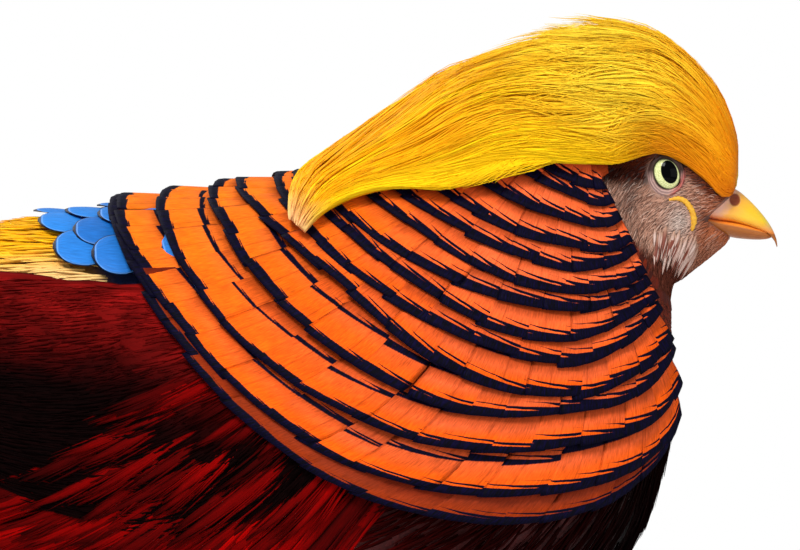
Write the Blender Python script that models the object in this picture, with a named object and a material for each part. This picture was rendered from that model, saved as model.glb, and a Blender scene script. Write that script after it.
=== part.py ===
"""A golden pheasant cock, life size, standing square on both feet with its neck drawn in and its cape spread.

While it is modelled, x runs forward from below the eye, y to the bird's own left and z up from the floor.
At the end one empty carries every piece back, so that the origin lies under the middle of its length.
Tables of outline stations are in millimetres, as a tape would read them, and MM turns them into metres.
"""

import math
import random

import bmesh
import bpy
import numpy as np

MM = 0.001
GAP = 0.35 * MM

# The body is one closed skin of tilted oval rings, from the bill's base to the root of the tail.
# Each ring: its top point x and z, its bottom point x and z, and its half width, in millimetres.
BODY_RINGS = [
    (19.8, 234.5, 18.2, 216.5, 6.2),
    (18.3, 245.0, 15.5, 214.3, 9.3),
    (12.5, 253.0, 11.5, 211.0, 12.0),
    (4.0, 258.0, 8.0, 208.3, 14.0),
    (-6.0, 260.0, 5.5, 206.3, 15.0),
    (-16.0, 258.0, 3.5, 205.0, 15.5),
    (-26.0, 254.0, 2.0, 203.5, 16.5),
    (-38.0, 250.0, 1.0, 196.0, 19.0),
    (-54.0, 246.5, 1.2, 186.0, 23.0),
    (-74.0, 239.5, 1.5, 173.0, 29.5),
    (-97.0, 233.0, -1.0, 155.0, 38.0),
    (-120.0, 229.0, -9.0, 133.0, 46.0),
    (-140.0, 226.0, -29.0, 111.0, 51.5),
    (-158.0, 223.0, -62.0, 95.0, 54.0),
    (-176.0, 221.5, -97.0, 89.5, 53.5),
    (-194.0, 218.5, -132.0, 91.0, 50.0),
    (-212.0, 214.5, -166.0, 98.0, 43.0),
    (-231.0, 209.5, -199.0, 112.0, 34.0),
    (-249.0, 203.0, -228.0, 134.0, 24.5),
    (-263.0, 198.0, -249.0, 158.0, 16.5),
    (-273.0, 194.0, -266.0, 174.0, 11.0),
    (-284.0, 190.0, -281.0, 180.0, 8.0),
]
HEAD_END = 5.0
TORSO_END = 19.45
RING_SIDES = 20
HEAD_SIDES = 20

# The crest lies over the crown and nape in rows that run back along the skin.
# Each row: ring station, middle angle, half spread, inner, edge and top height over the skin.
CREST_ROWS = [
    (0.1, 0, 50, 0.45, 1.0, 1.3),
    (0.6, 0, 81, 0.45, 1.1, 1.9),
    (1.3, 0, 92, 0.45, 1.2, 3.2),
    (2.1, 0, 85, 0.5, 1.5, 6.2),
    (3.0, 0, 77, 0.6, 1.8, 10.4),
    (4.0, 0, 71, 0.8, 2.4, 15.6),
    (5.0, 0, 72, 1.2, 3.2, 19.5),
    (5.9, -1, 70, 3.8, 5.2, 22.5),
    (6.9, -2, 61, 6.0, 7.6, 22.6),
    (8.0, -6, 46, 6.6, 8.4, 19.8),
    (9.0, -15.5, 31.5, 7.0, 8.8, 14.8),
    (9.8, -24.5, 16, 7.2, 9.0, 11.6),
    (10.4, -33, 9, 7.4, 9.2, 10.8),
    (11.0, -46, 2.4, 7.6, 9.2, 9.9),
]

EYE_CENTRE = (0.0, 8.6, 235.0)
EYE_RADIUS = 7.0
LID_HALF = (4.1, 4.8)
LID_THICK = 0.95

# Tier t of the cape runs from the middle of the back, x = 0, to its front edge beside the throat, x = 1.
CAPE_BACK = (6.2, 6.35)
CAPE_FRONT = (6.4, 3.0, 1.45)
CAPE_SPREAD = (74.0, 89.0, 1.8)
CAPE_DROOP = (3.2, 0.65, 0.7)
CAPE_TIERS = 6
CAPE_REACH = 1.95
CAPE_ROOT_DEPTH = -2.6
CAPE_TIP_LIFT = (3.3, 2.9)
CAPE_FEATHER_WIDTH = (13.0, 28.5)
CAPE_CUT = 0.86
VANE = 0.6 * MM
ROLL = 0.5 * MM

# The folded wing lies on the flank: ring station of shoulder and tip, and its upper and lower angle there.
WING_STATIONS = (12.75, 18.0)
WING_UPPER = (50.0, 41.0, 34.0, 30.0)
WING_LOWER = (96.0, 104.0, 88.0, 56.0)
WING_THICKNESS = 4.2

# The tail: its root, droop, and the length, half width and sideways fan of the feathers on one side.
TAIL_ROOT = (-266.0, 186.5)
TAIL_SLOPE, TAIL_SAG = 0.155, 0.00003
TAIL_TIP_X = -930.0
TAIL_LENGTHS = (662.0, 560.0, 462.0, 372.0, 290.0, 218.0)
TAIL_HALF_WIDTHS = (19.0, 16.0, 15.0, 14.0, 13.0, 12.0)
TAIL_LAYER = 1.15
COVERT_LENGTHS = (250.0, 195.0, 145.0)

# Legs, given for the left side: hip inside the flank, hock, and the ball of the foot.
LEG_SHIFT = -38.0
HIP = (-92.0, 25.0, 128.0)
HOCK = (-122.0, 26.0, 80.0)
BALL = (-104.0, 27.5, 8.5)
STRIDE = 7.0
THIGH_RADII = (22.0, 21.0, 17.0, 10.5, 6.0)
SHANK_RADIUS = 3.5
SCUTES, SCUTE_STEP = 8, 0.9
TOES = {
    "inner": (-24.0, 35.0, 3),
    "middle": (3.0, 49.0, 4),
    "outer": (31.0, 39.0, 4),
    "hind": (176.0, 17.0, 2),
}
TOE_RADIUS = 3.5
CLAW_LENGTH = 9.0


def clear_scene():
    for old in list(bpy.data.objects):
        bpy.data.objects.remove(old, do_unlink=True)


def material(name, colour, roughness, metallic=0.0):
    made = bpy.data.materials.new(name)
    made.use_nodes = True
    shader = made.node_tree.nodes["Principled BSDF"]
    shader.inputs["Base Color"].default_value = (*colour, 1.0)
    shader.inputs["Roughness"].default_value = roughness
    shader.inputs["Metallic"].default_value = metallic
    return made


def spline(rows, at):
    """Values of a table at fractional row numbers, by a Catmull-Rom curve through its rows."""
    rows = np.asarray(rows, float)
    padded = np.vstack([2 * rows[0] - rows[1], rows, 2 * rows[-1] - rows[-2]])
    at = np.clip(np.asarray(at, float), 0.0, len(rows) - 1.0)
    first = np.minimum(at.astype(int), len(rows) - 2)
    part = (at - first)[..., None]
    a, b, c, d = (padded[first + k] for k in range(4))
    return 0.5 * (
        2 * b
        + (c - a) * part
        + (2 * a - 5 * b + 4 * c - d) * part**2
        + (3 * b - a - 3 * c + d) * part**3
    )


def ring_point(station, angle):
    """A point of the bare skin: ring centre, plus its tilted half height by cosine and half width by sine."""
    row = spline(BODY_RINGS, station) * MM
    top, bottom, half_width = row[..., 0:2], row[..., 2:4], row[..., 4]
    side_view = (top + bottom) / 2 + (top - bottom) / 2 * np.cos(angle)[..., None]
    return np.stack([side_view[..., 0], half_width * np.sin(angle), side_view[..., 1]], -1)


def on_body(station, angle, lift=0.0):
    """Points at a height over the skin. The angle, in degrees, runs from the back towards the left side."""
    station, angle, lift = np.broadcast_arrays(station, np.radians(angle), np.asarray(lift, float))
    step = 0.02
    along = ring_point(station + step, angle) - ring_point(station - step, angle)
    across = ring_point(station, angle + step) - ring_point(station, angle - step)
    normal = np.cross(across, along)
    normal /= np.linalg.norm(normal, axis=-1, keepdims=True) + 1e-12
    return ring_point(station, angle) + normal * (lift * MM)[..., None]


def mesh_object(name, points, faces, finish, keep=True):
    """A named object from points and faces, its faces turned outwards."""
    mesh = bpy.data.meshes.new(name)
    mesh.from_pydata([tuple(p) for p in points], [], [tuple(f) for f in faces])
    shape = bmesh.new()
    shape.from_mesh(mesh)
    bmesh.ops.recalc_face_normals(shape, faces=shape.faces)
    if shape.calc_volume(signed=True) < 0:
        bmesh.ops.reverse_faces(shape, faces=shape.faces)
    shape.to_mesh(mesh)
    shape.free()
    mesh.materials.append(finish)
    made = bpy.data.objects.new(name, mesh)
    (BIRD if keep else HELPERS).objects.link(made)
    return made


def loft(rings):
    """Points and faces of a closed skin over rings of equal count, its ends closed by fans."""
    rings = np.asarray(rings)
    count, sides = rings.shape[:2]
    points = list(rings.reshape(-1, 3)) + [rings[0].mean(0), rings[-1].mean(0)]
    first_hub, last_hub = count * sides, count * sides + 1
    faces = []
    for j in range(sides):
        k = (j + 1) % sides
        faces.append((first_hub, k, j))
        faces.append((last_hub, (count - 1) * sides + j, (count - 1) * sides + k))
        for i in range(count - 1):
            a, b = i * sides + j, i * sides + k
            faces.append((a, b, b + sides))
            faces.append((a, b + sides, a + sides))
    return points, faces


def slab(lower, upper):
    """Points and faces of the closed plate between two grids, both split into triangles alike."""
    lower, upper = np.asarray(lower), np.asarray(upper)
    rows, columns = lower.shape[:2]
    shift = rows * columns
    points = list(lower.reshape(-1, 3)) + list(upper.reshape(-1, 3))
    faces = []
    for i in range(rows - 1):
        for j in range(columns - 1):
            a = i * columns + j
            b, c, d = a + 1, a + columns + 1, a + columns
            faces += [(a, c, b), (a, d, c)]
            faces += [(shift + a, shift + b, shift + c), (shift + a, shift + c, shift + d)]
    rim = [(0, j) for j in range(columns)] + [(i, columns - 1) for i in range(1, rows)]
    rim += [(rows - 1, j) for j in range(columns - 2, -1, -1)] + [(i, 0) for i in range(rows - 2, 0, -1)]
    for (i, j), (k, m) in zip(rim, rim[1:] + rim[:1]):
        a, b = i * columns + j, k * columns + m
        faces += [(a, b, shift + b), (a, shift + b, shift + a)]
    return points, faces


def ball(centre, radii, segments=12, rings=7):
    """Points and faces of an ellipsoid with a horizontal band of quads and a fan at each pole."""
    polar = np.linspace(0, math.pi, rings + 1)[1:-1]
    turn = np.linspace(0, 2 * math.pi, segments, endpoint=False)
    p, t = np.meshgrid(polar, turn, indexing="ij")
    unit = np.stack([np.sin(p) * np.cos(t), np.cos(p), np.sin(p) * np.sin(t)], -1)
    grid = (np.asarray(centre) + unit * np.asarray(radii)) * MM
    points, faces = loft(grid)
    points[-2] = (np.asarray(centre) + np.array([0, radii[1], 0])) * MM
    points[-1] = (np.asarray(centre) - np.array([0, radii[1], 0])) * MM
    return points, faces


def tube(path, wide, deep, sides=10, across=(0.0, 1.0, 0.0), facing=None):
    """Rings of a tube along a path in millimetres, with half widths across it and half depths.
    They stand square to the path, or all square to one heading if facing is given."""
    path = np.asarray(path, float)
    ahead = np.gradient(path, axis=0) if facing is None else np.tile(np.asarray(facing, float), (len(path), 1))
    ahead /= np.linalg.norm(ahead, axis=1, keepdims=True)
    side = np.asarray(across, float) - (ahead @ np.asarray(across, float))[:, None] * ahead
    side /= np.linalg.norm(side, axis=1, keepdims=True)
    other = np.cross(side, ahead)
    turn = np.linspace(0, 2 * math.pi, sides, endpoint=False)
    wide, deep = np.asarray(wide, float), np.asarray(deep, float)
    rings = path[:, None] + side[:, None] * (wide[:, None] * np.cos(turn))[..., None]
    return (rings + other[:, None] * (deep[:, None] * np.sin(turn))[..., None]) * MM


def largest_surface(target):
    """Keeps only the largest closed surface of a mesh."""
    shape = bmesh.new()
    shape.from_mesh(target.data)
    bmesh.ops.triangulate(shape, faces=shape.faces)
    unseen, pieces = set(shape.verts), []
    while unseen:
        start = unseen.pop()
        piece, edge = {start}, [start]
        while edge:
            vert = edge.pop()
            for link in vert.link_edges:
                other = link.other_vert(vert)
                if other not in piece:
                    piece.add(other)
                    edge.append(other)
        unseen -= piece
        pieces.append(piece)

    def extent(piece):
        spots = np.array([v.co for v in piece])
        return float(np.prod(np.ptp(spots, axis=0) + 1e-6))

    pieces.sort(key=extent)
    loose = [vert for piece in pieces[:-1] for vert in piece]
    bmesh.ops.delete(shape, geom=loose, context="VERTS")
    shape.to_mesh(target.data)
    shape.free()


def apply_boolean(target, operation, helpers, solver):
    """Joins or cuts target with a collection of helper objects, applies it and removes them."""
    tools = bpy.data.collections.new("tools")
    bpy.context.scene.collection.children.link(tools)
    for helper in helpers:
        for owner in helper.users_collection:
            owner.objects.unlink(helper)
        tools.objects.link(helper)
    change = target.modifiers.new("shape", "BOOLEAN")
    change.operation = operation
    change.operand_type = "COLLECTION"
    change.collection = tools
    change.solver = solver
    bpy.context.view_layer.update()
    graph = bpy.context.evaluated_depsgraph_get()
    result = bpy.data.meshes.new_from_object(target.evaluated_get(graph))
    target.modifiers.clear()
    target.data = result
    for helper in helpers:
        bpy.data.objects.remove(helper, do_unlink=True)
    bpy.data.collections.remove(tools)


def fuse(target, shapes, solver="MANIFOLD"):
    """Grows a list of closed shapes on target, as one closed body."""
    finish = target.data.materials[0]
    helpers = [mesh_object(f"grown_{n}", *shape, finish, keep=False) for n, shape in enumerate(shapes)]
    apply_boolean(target, "UNION", helpers, solver)
    largest_surface(target)
    return target


def cut(target, shapes, operation="DIFFERENCE", solver="MANIFOLD"):
    finish = target.data.materials[0]
    helpers = [mesh_object(f"cutter_{n}", *shape, finish, keep=False) for n, shape in enumerate(shapes)]
    apply_boolean(target, operation, helpers, solver)
    largest_surface(target)
    return target


def skin_loft(start, end, step=1.0, lift=0.0, sides=RING_SIDES):
    """The body's skin between two ring stations, at a height over it."""
    count = int(round((end - start) / step)) + 1
    stations = np.linspace(start, end, count)
    angles = np.linspace(0, 360, sides, endpoint=False)
    return loft(on_body(stations[:, None], angles[None, :], lift))


def cape_place(tier, across):
    """Ring station and angle of a point of the cape. It droops: a tier lies further back at the side."""
    tier, across = np.broadcast_arrays(np.asarray(tier, float), np.asarray(across, float))
    share = np.clip(tier, 0, 1.25)
    under = np.minimum(tier, 0)
    back = CAPE_BACK[0] + CAPE_BACK[1] * tier
    front = CAPE_FRONT[0] + CAPE_FRONT[1] * share ** CAPE_FRONT[2] + 3.0 * under
    rest = np.clip(1 - share, 0, 1)
    spread = CAPE_SPREAD[0] + CAPE_SPREAD[1] * (1 - rest ** CAPE_SPREAD[2])
    power, bulge, blunt = CAPE_DROOP
    wave = np.clip(np.sin(math.pi * across), 0, 1) ** blunt
    station = back - (back - front) * np.clip(across, 0, 1.2) ** power + bulge * share * wave
    return station, spread * across


def cape_span(tier):
    """Length of one side of a cape tier over the skin, in metres."""
    station, angle = cape_place(tier, np.linspace(0, 1, 60))
    points = on_body(station, angle)
    return float(np.linalg.norm(np.diff(points, axis=0), axis=1).sum())


def cape_lift(tier):
    return CAPE_TIP_LIFT[0] + CAPE_TIP_LIFT[1] * np.clip(tier, 0, 1)


def cape_feather(tip, across, half, turn, side):
    """One broad, square-ended feather: two edges that follow the skin and rise from a sunk root."""
    step = 1.0 / CAPE_TIERS
    length = step * CAPE_REACH
    run = np.array([0.0, 0.56, 1.0])
    share = np.array([0.55, 0.98, 0.88])
    tiers = np.maximum(tip - length + length * run, -0.1 + 0.02 * run)
    edges = np.array([-1.0, 1.0])
    where = np.clip(across + half * share[:, None] * edges, 0.004, 1.02)
    station, angle = cape_place(tiers[:, None], where)
    lift = CAPE_ROOT_DEPTH + (cape_lift(tip) - CAPE_ROOT_DEPTH) * run**0.85
    roll = ROLL / MM * turn * edges * np.clip(run * 2, 0, 1)[:, None]
    heights = lift[:, None] + roll
    return slab(
        on_body(station, side * angle, heights), on_body(station, side * angle, heights + VANE / MM)
    )


def cape_feathers():
    """Both sides of the cape, tier by tier from the ear outwards, each tier set half a feather off the last."""
    draw = random.Random(11)
    step = 1.0 / CAPE_TIERS
    shapes = []
    for n in range(CAPE_TIERS):
        tip = step * (n + 1)
        width = (CAPE_FEATHER_WIDTH[0] + (CAPE_FEATHER_WIDTH[1] - CAPE_FEATHER_WIDTH[0]) * tip) * MM
        count = max(4, round(cape_span(tip) / width))
        for k in range(-(n % 2), count):
            across = (k + 0.5 + 0.3 * (n % 2)) / count
            tip_here = tip + draw.uniform(-0.012, 0.012)
            for side in (-1, 1):
                shapes.append(cape_feather(tip_here, across, 0.53 / count, -1.0, side))
    return shapes


def collar_prism(tier, spread=60.0):
    """A block whose edge follows one cape tier in side view, right through the bird from side to side."""
    station, angle = cape_place(tier, np.linspace(0, 1, 22))
    edge = on_body(station, angle)[:, [0, 2]] / MM
    back, front = edge[0], edge[-1]
    outline = [(back[0] - 6, 330.0), (back[0] - 3, back[1] + 12)] + [tuple(p) for p in edge[1:]]
    outline += [(front[0] + 12, front[1] - 1), (60.0, front[1] + 4), (60.0, 330.0)]
    rings = [[(x * MM, y * MM, z * MM) for x, z in outline] for y in (-spread * 1.6, spread * 1.6)]
    return loft(rings)


def grow_neck(finish):
    """Neck and shoulders down to the collar line, with every feather of the cape rooted in them."""
    neck = mesh_object("neck_cape", *skin_loft(HEAD_END + 0.09, 18.0, 1.6), finish)
    cut(neck, [collar_prism(CAPE_CUT - 0.002)], "INTERSECT")
    return fuse(neck, cape_feathers())


def grow_torso(finish):
    torso = mesh_object("torso", *skin_loft(HEAD_END + 0.2, TORSO_END), finish)
    cut(torso, [collar_prism(CAPE_CUT + 0.006)])
    return torso


def back_prism(drop, lead, spread=30.0):
    """A long block over the back, its floor a set depth below the back's line."""
    stations = np.linspace(7.0, 19.8, 14)
    line = on_body(stations, 0.0)[:, [0, 2]] / MM
    low = [(x, z - drop) for x, z in line]
    outline = low + [(line[-1][0] - 20, 150.0 + lead), (line[-1][0] - 20, 330.0), (line[0][0], 330.0)]
    rings = [[(x * MM, y * MM, z * MM) for x, z in outline] for y in (-spread * 2, spread * 2)]
    return loft(rings)


def mantle_feather(station, angle, length, half):
    """A round-ended scale feather of the upper back."""
    run = np.array([0.0, 0.7, 1.0])
    share = np.array([0.7, 1.0, 0.45])
    edges = np.array([-1.0, 1.0])
    stations = station + length * run
    angles = angle + half * share[:, None] * edges
    heights = (-1.8 + 4.2 * run**0.9)[:, None] + 0.0 * edges
    grid = stations[:, None] + 0 * angles
    return slab(on_body(grid, angles, heights), on_body(grid, angles, heights + VANE / MM))


def grow_back(finish):
    """Mantle, back and rump: the strip of the body above the wings, with the mantle's scale feathers."""
    back = mesh_object("back", *skin_loft(HEAD_END + 0.2, TORSO_END), finish)
    cut(back, [collar_prism(CAPE_CUT + 0.006)])
    cut(back, [back_prism(15.0, 0.0)], "INTERSECT")
    shapes = []
    for row, station in enumerate((12.5, 13.05, 13.6)):
        count = 5 - row % 2
        for k in range(count):
            angle = (k - (count - 1) / 2) * 13.6
            shapes.append(mantle_feather(station, angle, 1.05, 6.7))
    return fuse(back, shapes)


def crest_row(at):
    return spline(CREST_ROWS, at)


def crest_point(at, across, depth):
    """A point of the crest: depth 0 is its inner face and 1 its outer face, domed across."""
    at, across, depth = np.broadcast_arrays(*(np.asarray(x, float) for x in (at, across, depth)))
    station, middle, spread, inner, edge, top = np.moveaxis(crest_row(at), -1, 0)
    outer = edge + (top - edge) * (1 - np.abs(np.clip(across, -1, 1)) ** 2.3)
    return on_body(station, middle + spread * across, inner + (outer - inner) * depth)


def crest_lock(start, end, across, drift, half, side_lift, rise=1.04):
    """A flat, pointed lock that leaves the crest's core and follows its lie to a free tip."""
    run = np.array([0.0, 0.2, 0.5, 0.8, 1.0])
    share = np.array([0.5, 0.95, 1.0, 0.66, 0.1])
    edges = np.array([-1.0, 1.0])
    at = start + (end - start) * run
    middle = across + drift * run
    where = middle[:, None] + half * share[:, None] * edges
    depth = (0.34 + (rise - 0.34) * np.sin(run * math.pi / 2) ** 0.8)[:, None] + side_lift * edges
    thick = np.array([0.9, 0.9, 0.9, 0.8, 0.55])[:, None] * MM
    low = crest_point(at[:, None] + 0 * where, where, depth)
    high = crest_point(at[:, None] + 0 * where, where, depth + 0.05)
    way = high - low
    way /= np.linalg.norm(way, axis=-1, keepdims=True)
    return slab(low, low + way * thick[..., None])


def clear_of_head(crest):
    """Cuts the crest's underside to the skull, with the usual thin gap."""
    return cut(crest, [skin_loft(0.0, 7.15, 0.55, 0.4, HEAD_SIDES)])


def grow_crest(finish):
    """The silky crest: a core to half its depth, and locks in tiers from the forehead to the draped tip."""
    at = np.linspace(0.25, 12.4, 15)[:, None]
    across = np.linspace(-0.86, 0.86, 8)[None, :]
    crest = mesh_object("crest", *slab(crest_point(at, across, 0.0), crest_point(at, across, 0.48)), finish)
    draw = random.Random(6)
    shapes = []
    for tier, start in enumerate((0.4, 2.4, 4.4, 6.4, 8.4)):
        count = 6 if start < 5 else 5 if start < 8 else 4
        for k in range(count):
            across = ((k + 0.5 + 0.25 * (-1) ** tier) / count * 2 - 1) * 0.93
            begin = start + draw.uniform(-0.25, 0.25)
            end = min(begin + draw.uniform(4.2, 4.9), 12.95)
            shapes.append(crest_lock(begin, end, across, -0.05 * across, 0.87 / count, 0.0))
    shapes.append(crest_lock(3.2, 7.3, -0.12, 0.05, 0.12, 0.0, 1.32))
    shapes.append(crest_lock(3.6, 6.6, 0.1, 0.05, 0.1, 0.0, 1.26))
    fuse(crest, shapes)
    return clear_of_head(crest)


def ring_of_lid(side):
    """A raised oval ring round the eye, laid against the cheek."""
    turn = np.linspace(0, 2 * math.pi, 14, endpoint=False)
    tube_turn = np.linspace(0, 2 * math.pi, 4, endpoint=False)
    wide = LID_HALF[0] + LID_THICK * np.cos(tube_turn)[None, :]
    tall = LID_HALF[1] + LID_THICK * np.cos(tube_turn)[None, :]
    x = EYE_CENTRE[0] + wide * np.cos(turn)[:, None]
    z = EYE_CENTRE[2] + tall * np.sin(turn)[:, None]
    y = 13.9 - 0.05 * (x - EYE_CENTRE[0]) ** 2 / 4 + LID_THICK * np.sin(tube_turn)[None, :]
    grid = np.stack([x, side * y, z], -1) * MM
    count, sides = grid.shape[:2]
    faces = []
    for i in range(count):
        for j in range(sides):
            k, m = (i + 1) % count, (j + 1) % sides
            faces.append((i * sides + j, k * sides + j, k * sides + m, i * sides + m))
    return list(grid.reshape(-1, 3)), faces


def grow_head(finish):
    """Face and skull, with lids round sunk eye sockets, wattles and the line of the mouth."""
    head = mesh_object("head", *skin_loft(0.0, HEAD_END - 0.03, 0.62, sides=HEAD_SIDES), finish)
    shapes = []
    for side in (-1, 1):
        shapes.append(ring_of_lid(side))
        shapes.append(ball((5.2, side * 12.6, 224.5), (2.4, 1.5, 4.6), 8, 6))
    fuse(head, shapes)
    cutters = []
    for side in (-1, 1):
        x, y, z = EYE_CENTRE
        cutters.append(ball((x, side * y, z), (EYE_RADIUS + GAP / MM,) * 3))
        cutters.append(ball((16.5, side * 10.2, 221.4), (4.6, 2.6, 0.55), 8, 4))
    return cut(head, cutters)


def grow_eye(name, side, finish):
    x, y, z = EYE_CENTRE
    return mesh_object(name, *ball((x, side * y, z), (EYE_RADIUS,) * 3), finish)


# Each bill station: ridge x and z, cutting edge x and z, half width.
UPPER_BILL = [
    (20.15, 231.2, 19.25, 221.2, 5.7),
    (22.5, 229.5, 21.9, 220.5, 5.0),
    (26.2, 226.0, 25.1, 219.6, 4.0),
    (29.2, 222.0, 28.0, 218.2, 2.8),
    (31.0, 218.4, 30.1, 216.4, 1.5),
    (31.6, 215.2, 31.3, 214.8, 0.4),
]
LOWER_BILL = [
    (19.2, 220.7, 18.6, 217.0, 5.2),
    (21.9, 220.0, 21.8, 216.7, 4.6),
    (25.0, 219.1, 25.2, 216.4, 3.5),
    (27.6, 217.9, 27.9, 216.3, 2.3),
    (29.3, 216.6, 29.3, 215.9, 0.8),
]


def bill_half(rows, arch):
    """A half of the bill: flat along the mouth and rounded over the ridge, from a few side view stations."""
    stations = spline(rows, np.linspace(0, len(rows) - 1, len(rows) + 1))
    turn = np.linspace(0, math.pi, 8)
    ridge, edge, half = stations[:, 0:2], stations[:, 2:4], stations[:, 4]
    rise = np.sin(turn) ** arch
    side_view = edge[:, None] + (ridge - edge)[:, None] * rise[None, :, None]
    y = half[:, None] * np.cos(turn)[None, :]
    grid = np.stack([side_view[..., 0], y, side_view[..., 1]], -1) * MM
    return loft(grid)


def grow_bill(upper_finish, lower_finish):
    upper = mesh_object("bill_upper", *bill_half(UPPER_BILL, 0.8), upper_finish)
    cut(upper, [ball((21.9, side * 4.9, 226.2), (1.9, 1.1, 1.25), 8, 4) for side in (-1, 1)])
    lower_rows = [(bx, bz, tx, tz, w) for tx, tz, bx, bz, w in LOWER_BILL]
    mesh_object("bill_lower", *bill_half(lower_rows, 0.8), lower_finish)


def wing_place(along, down):
    """Ring station and angle of the folded wing: along runs from shoulder to tip, down from its upper edge."""
    along, down = np.broadcast_arrays(np.asarray(along, float), np.asarray(down, float))
    row = np.clip(along, 0, 1.35) * (len(WING_UPPER) - 1)
    limits = spline(list(zip(WING_UPPER, WING_LOWER)), np.minimum(row, len(WING_UPPER) - 1))
    station = WING_STATIONS[0] + (WING_STATIONS[1] - WING_STATIONS[0]) * along
    return station, limits[..., 0] + (limits[..., 1] - limits[..., 0]) * down


def wing_vane(root, tip, half, lifts, side):
    """A flight feather or covert: root and tip are (along, down) on the wing, lifts the height at each."""
    run = np.array([0.0, 0.62, 1.0])
    share = np.array([0.6, 1.0, 0.55])
    edges = np.array([-1.0, 1.0])
    along = root[0] + (tip[0] - root[0]) * run
    down = (root[1] + (tip[1] - root[1]) * run)[:, None] + half * share[:, None] * edges
    station, angle = wing_place(along[:, None] + 0 * down, down)
    heights = (lifts[0] + (lifts[1] - lifts[0]) * run)[:, None] + 0.5 * edges
    return slab(
        on_body(station, side * angle, heights), on_body(station, side * angle, heights + VANE / MM)
    )


def grow_wing(name, side, finish):
    """A folded wing: a lens over the flank, then primaries, secondaries and three tiers of coverts."""
    along = np.linspace(0.02, 0.8, 7)[:, None]
    down = np.linspace(0.0, 1.0, 6)[None, :]
    station, angle = wing_place(along, down)
    rise = np.sin(np.clip(along / 0.8, 0, 1) * math.pi) ** 0.6 * np.sin(np.clip(down, 0.04, 0.96) * math.pi)
    outer = 1.9 + (WING_THICKNESS - 1.2) * rise
    wing = mesh_object(
        name, *slab(on_body(station, side * angle, 1.1), on_body(station, side * angle, outer)), finish
    )
    shapes = []
    for k in range(4):
        tip = (1.18 - 0.08 * k, 0.46 + 0.12 * k)
        shapes.append(wing_vane((0.5, 0.5 + 0.13 * k), tip, 0.065, (1.3, 2.4), side))
    for k in range(5):
        root, tip = (0.3, 0.12 + 0.18 * k), (0.97 - 0.06 * k, 0.08 + 0.165 * k)
        shapes.append(wing_vane(root, tip, 0.09, (1.4, 4.6), side))
    for start, length, lift in ((0.2, 0.4, 6.2), (0.04, 0.36, 6.0)):
        for k in range(5):
            down_here = 0.11 + 0.19 * k
            tip = (start + length - 0.02 * k, down_here)
            shapes.append(wing_vane((start, down_here), tip, 0.096, (1.3, lift), side))
    return fuse(wing, shapes)


def tail_axis(reach):
    """The tail's middle line: distance back from its root, in millimetres, to x and z."""
    return TAIL_ROOT[0] - reach, TAIL_ROOT[1] - TAIL_SLOPE * reach - TAIL_SAG * reach**2


def roof_drop(y, reach):
    """How far the roof-shaped tail falls away to the side, flatter towards its tip."""
    return (0.4 - 0.24 * reach / TAIL_LENGTHS[0]) * np.abs(y)


def tail_feather(length, half, fan, layer, offset, count=6, blunt=0.06):
    """A long tail feather. Each lies in its own layer under the one roof, so none crosses another."""
    run = np.linspace(0, 1, count)
    share = np.minimum(0.32 + 3.0 * run, 1.0) * (1 - (1 - blunt) * np.clip((run - 0.4) / 0.6, 0, 1) ** 1.6)
    reach = length * run
    x, z = tail_axis(reach)
    middle = offset + fan * reach
    low, high = middle - half * share, middle + half * share
    ridge = np.where((low < -0.5) & (high > 0.5), 0.0, middle)
    lines = []
    for y in (low, ridge, high):
        lines.append(np.stack([x, y, z - roof_drop(y, reach) - TAIL_LAYER * layer], -1) * MM)
    upper = np.stack(lines, 1)
    lower = upper - np.array([0, 0, 0.7 * MM])
    return slab(lower, upper)


def grow_tail(finish):
    """The tail: root of flesh, the long central pair over five graduated pairs, and side coverts."""
    tail = mesh_object("tail", *skin_loft(TORSO_END + 0.06, 20.95, 0.5, sides=12), finish)
    shapes = []
    for rank, (length, half) in enumerate(zip(TAIL_LENGTHS, TAIL_HALF_WIDTHS)):
        for side in (-1, 1):
            layer = 2 * rank + (side < 0) - 3
            offset, fan = side * (0.5 + 0.8 * rank), side * (0.003 + 0.016 * rank)
            shapes.append(tail_feather(length, half, fan, layer, offset))
    for rank, length in enumerate(COVERT_LENGTHS):
        for side in (-1, 1):
            offset, fan = side * (7.5 + 1.2 * rank), side * (0.05 + 0.03 * rank)
            shapes.append(tail_feather(length, 6.0, fan, -4 - rank, offset, 5))
    return fuse(tail, shapes)


def leg_point(place, side):
    """A left-side place moved to its side, with one foot a little ahead of the other."""
    x, y, z = place
    share = 1.0 - z / HIP[2]
    return np.array([x + LEG_SHIFT - side * STRIDE * share, side * y, z])


def level_block(low, high):
    """A wide block between two heights, for level cuts."""
    plan = [(-400.0, -90.0), (100.0, -90.0), (100.0, 90.0), (-400.0, 90.0)]
    return loft([[(x * MM, y * MM, z * MM) for x, y in plan] for z in (low, high)])


def grow_thigh(name, side, finish):
    hip, hock = leg_point(HIP, side), leg_point(HOCK, side)
    run = np.linspace(0, 1, len(THIGH_RADII))[:, None]
    path = hip + (hock - hip) * run + np.array([6.0, 0, 0]) * np.sin(run * math.pi)
    radii = np.array(THIGH_RADII)
    fine = np.linspace(0, len(radii) - 1, 7)
    around = spline(radii[:, None], fine)[:, 0]
    rings = tube(spline(path, fine), around * 0.72, around, 10)
    thigh = mesh_object(name, *loft(rings), finish)
    cut(thigh, [skin_loft(8.0, TORSO_END, 0.5, 0.45)])
    return cut(thigh, [level_block(HOCK[2] - 30.0, HOCK[2] + 0.2)])


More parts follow.
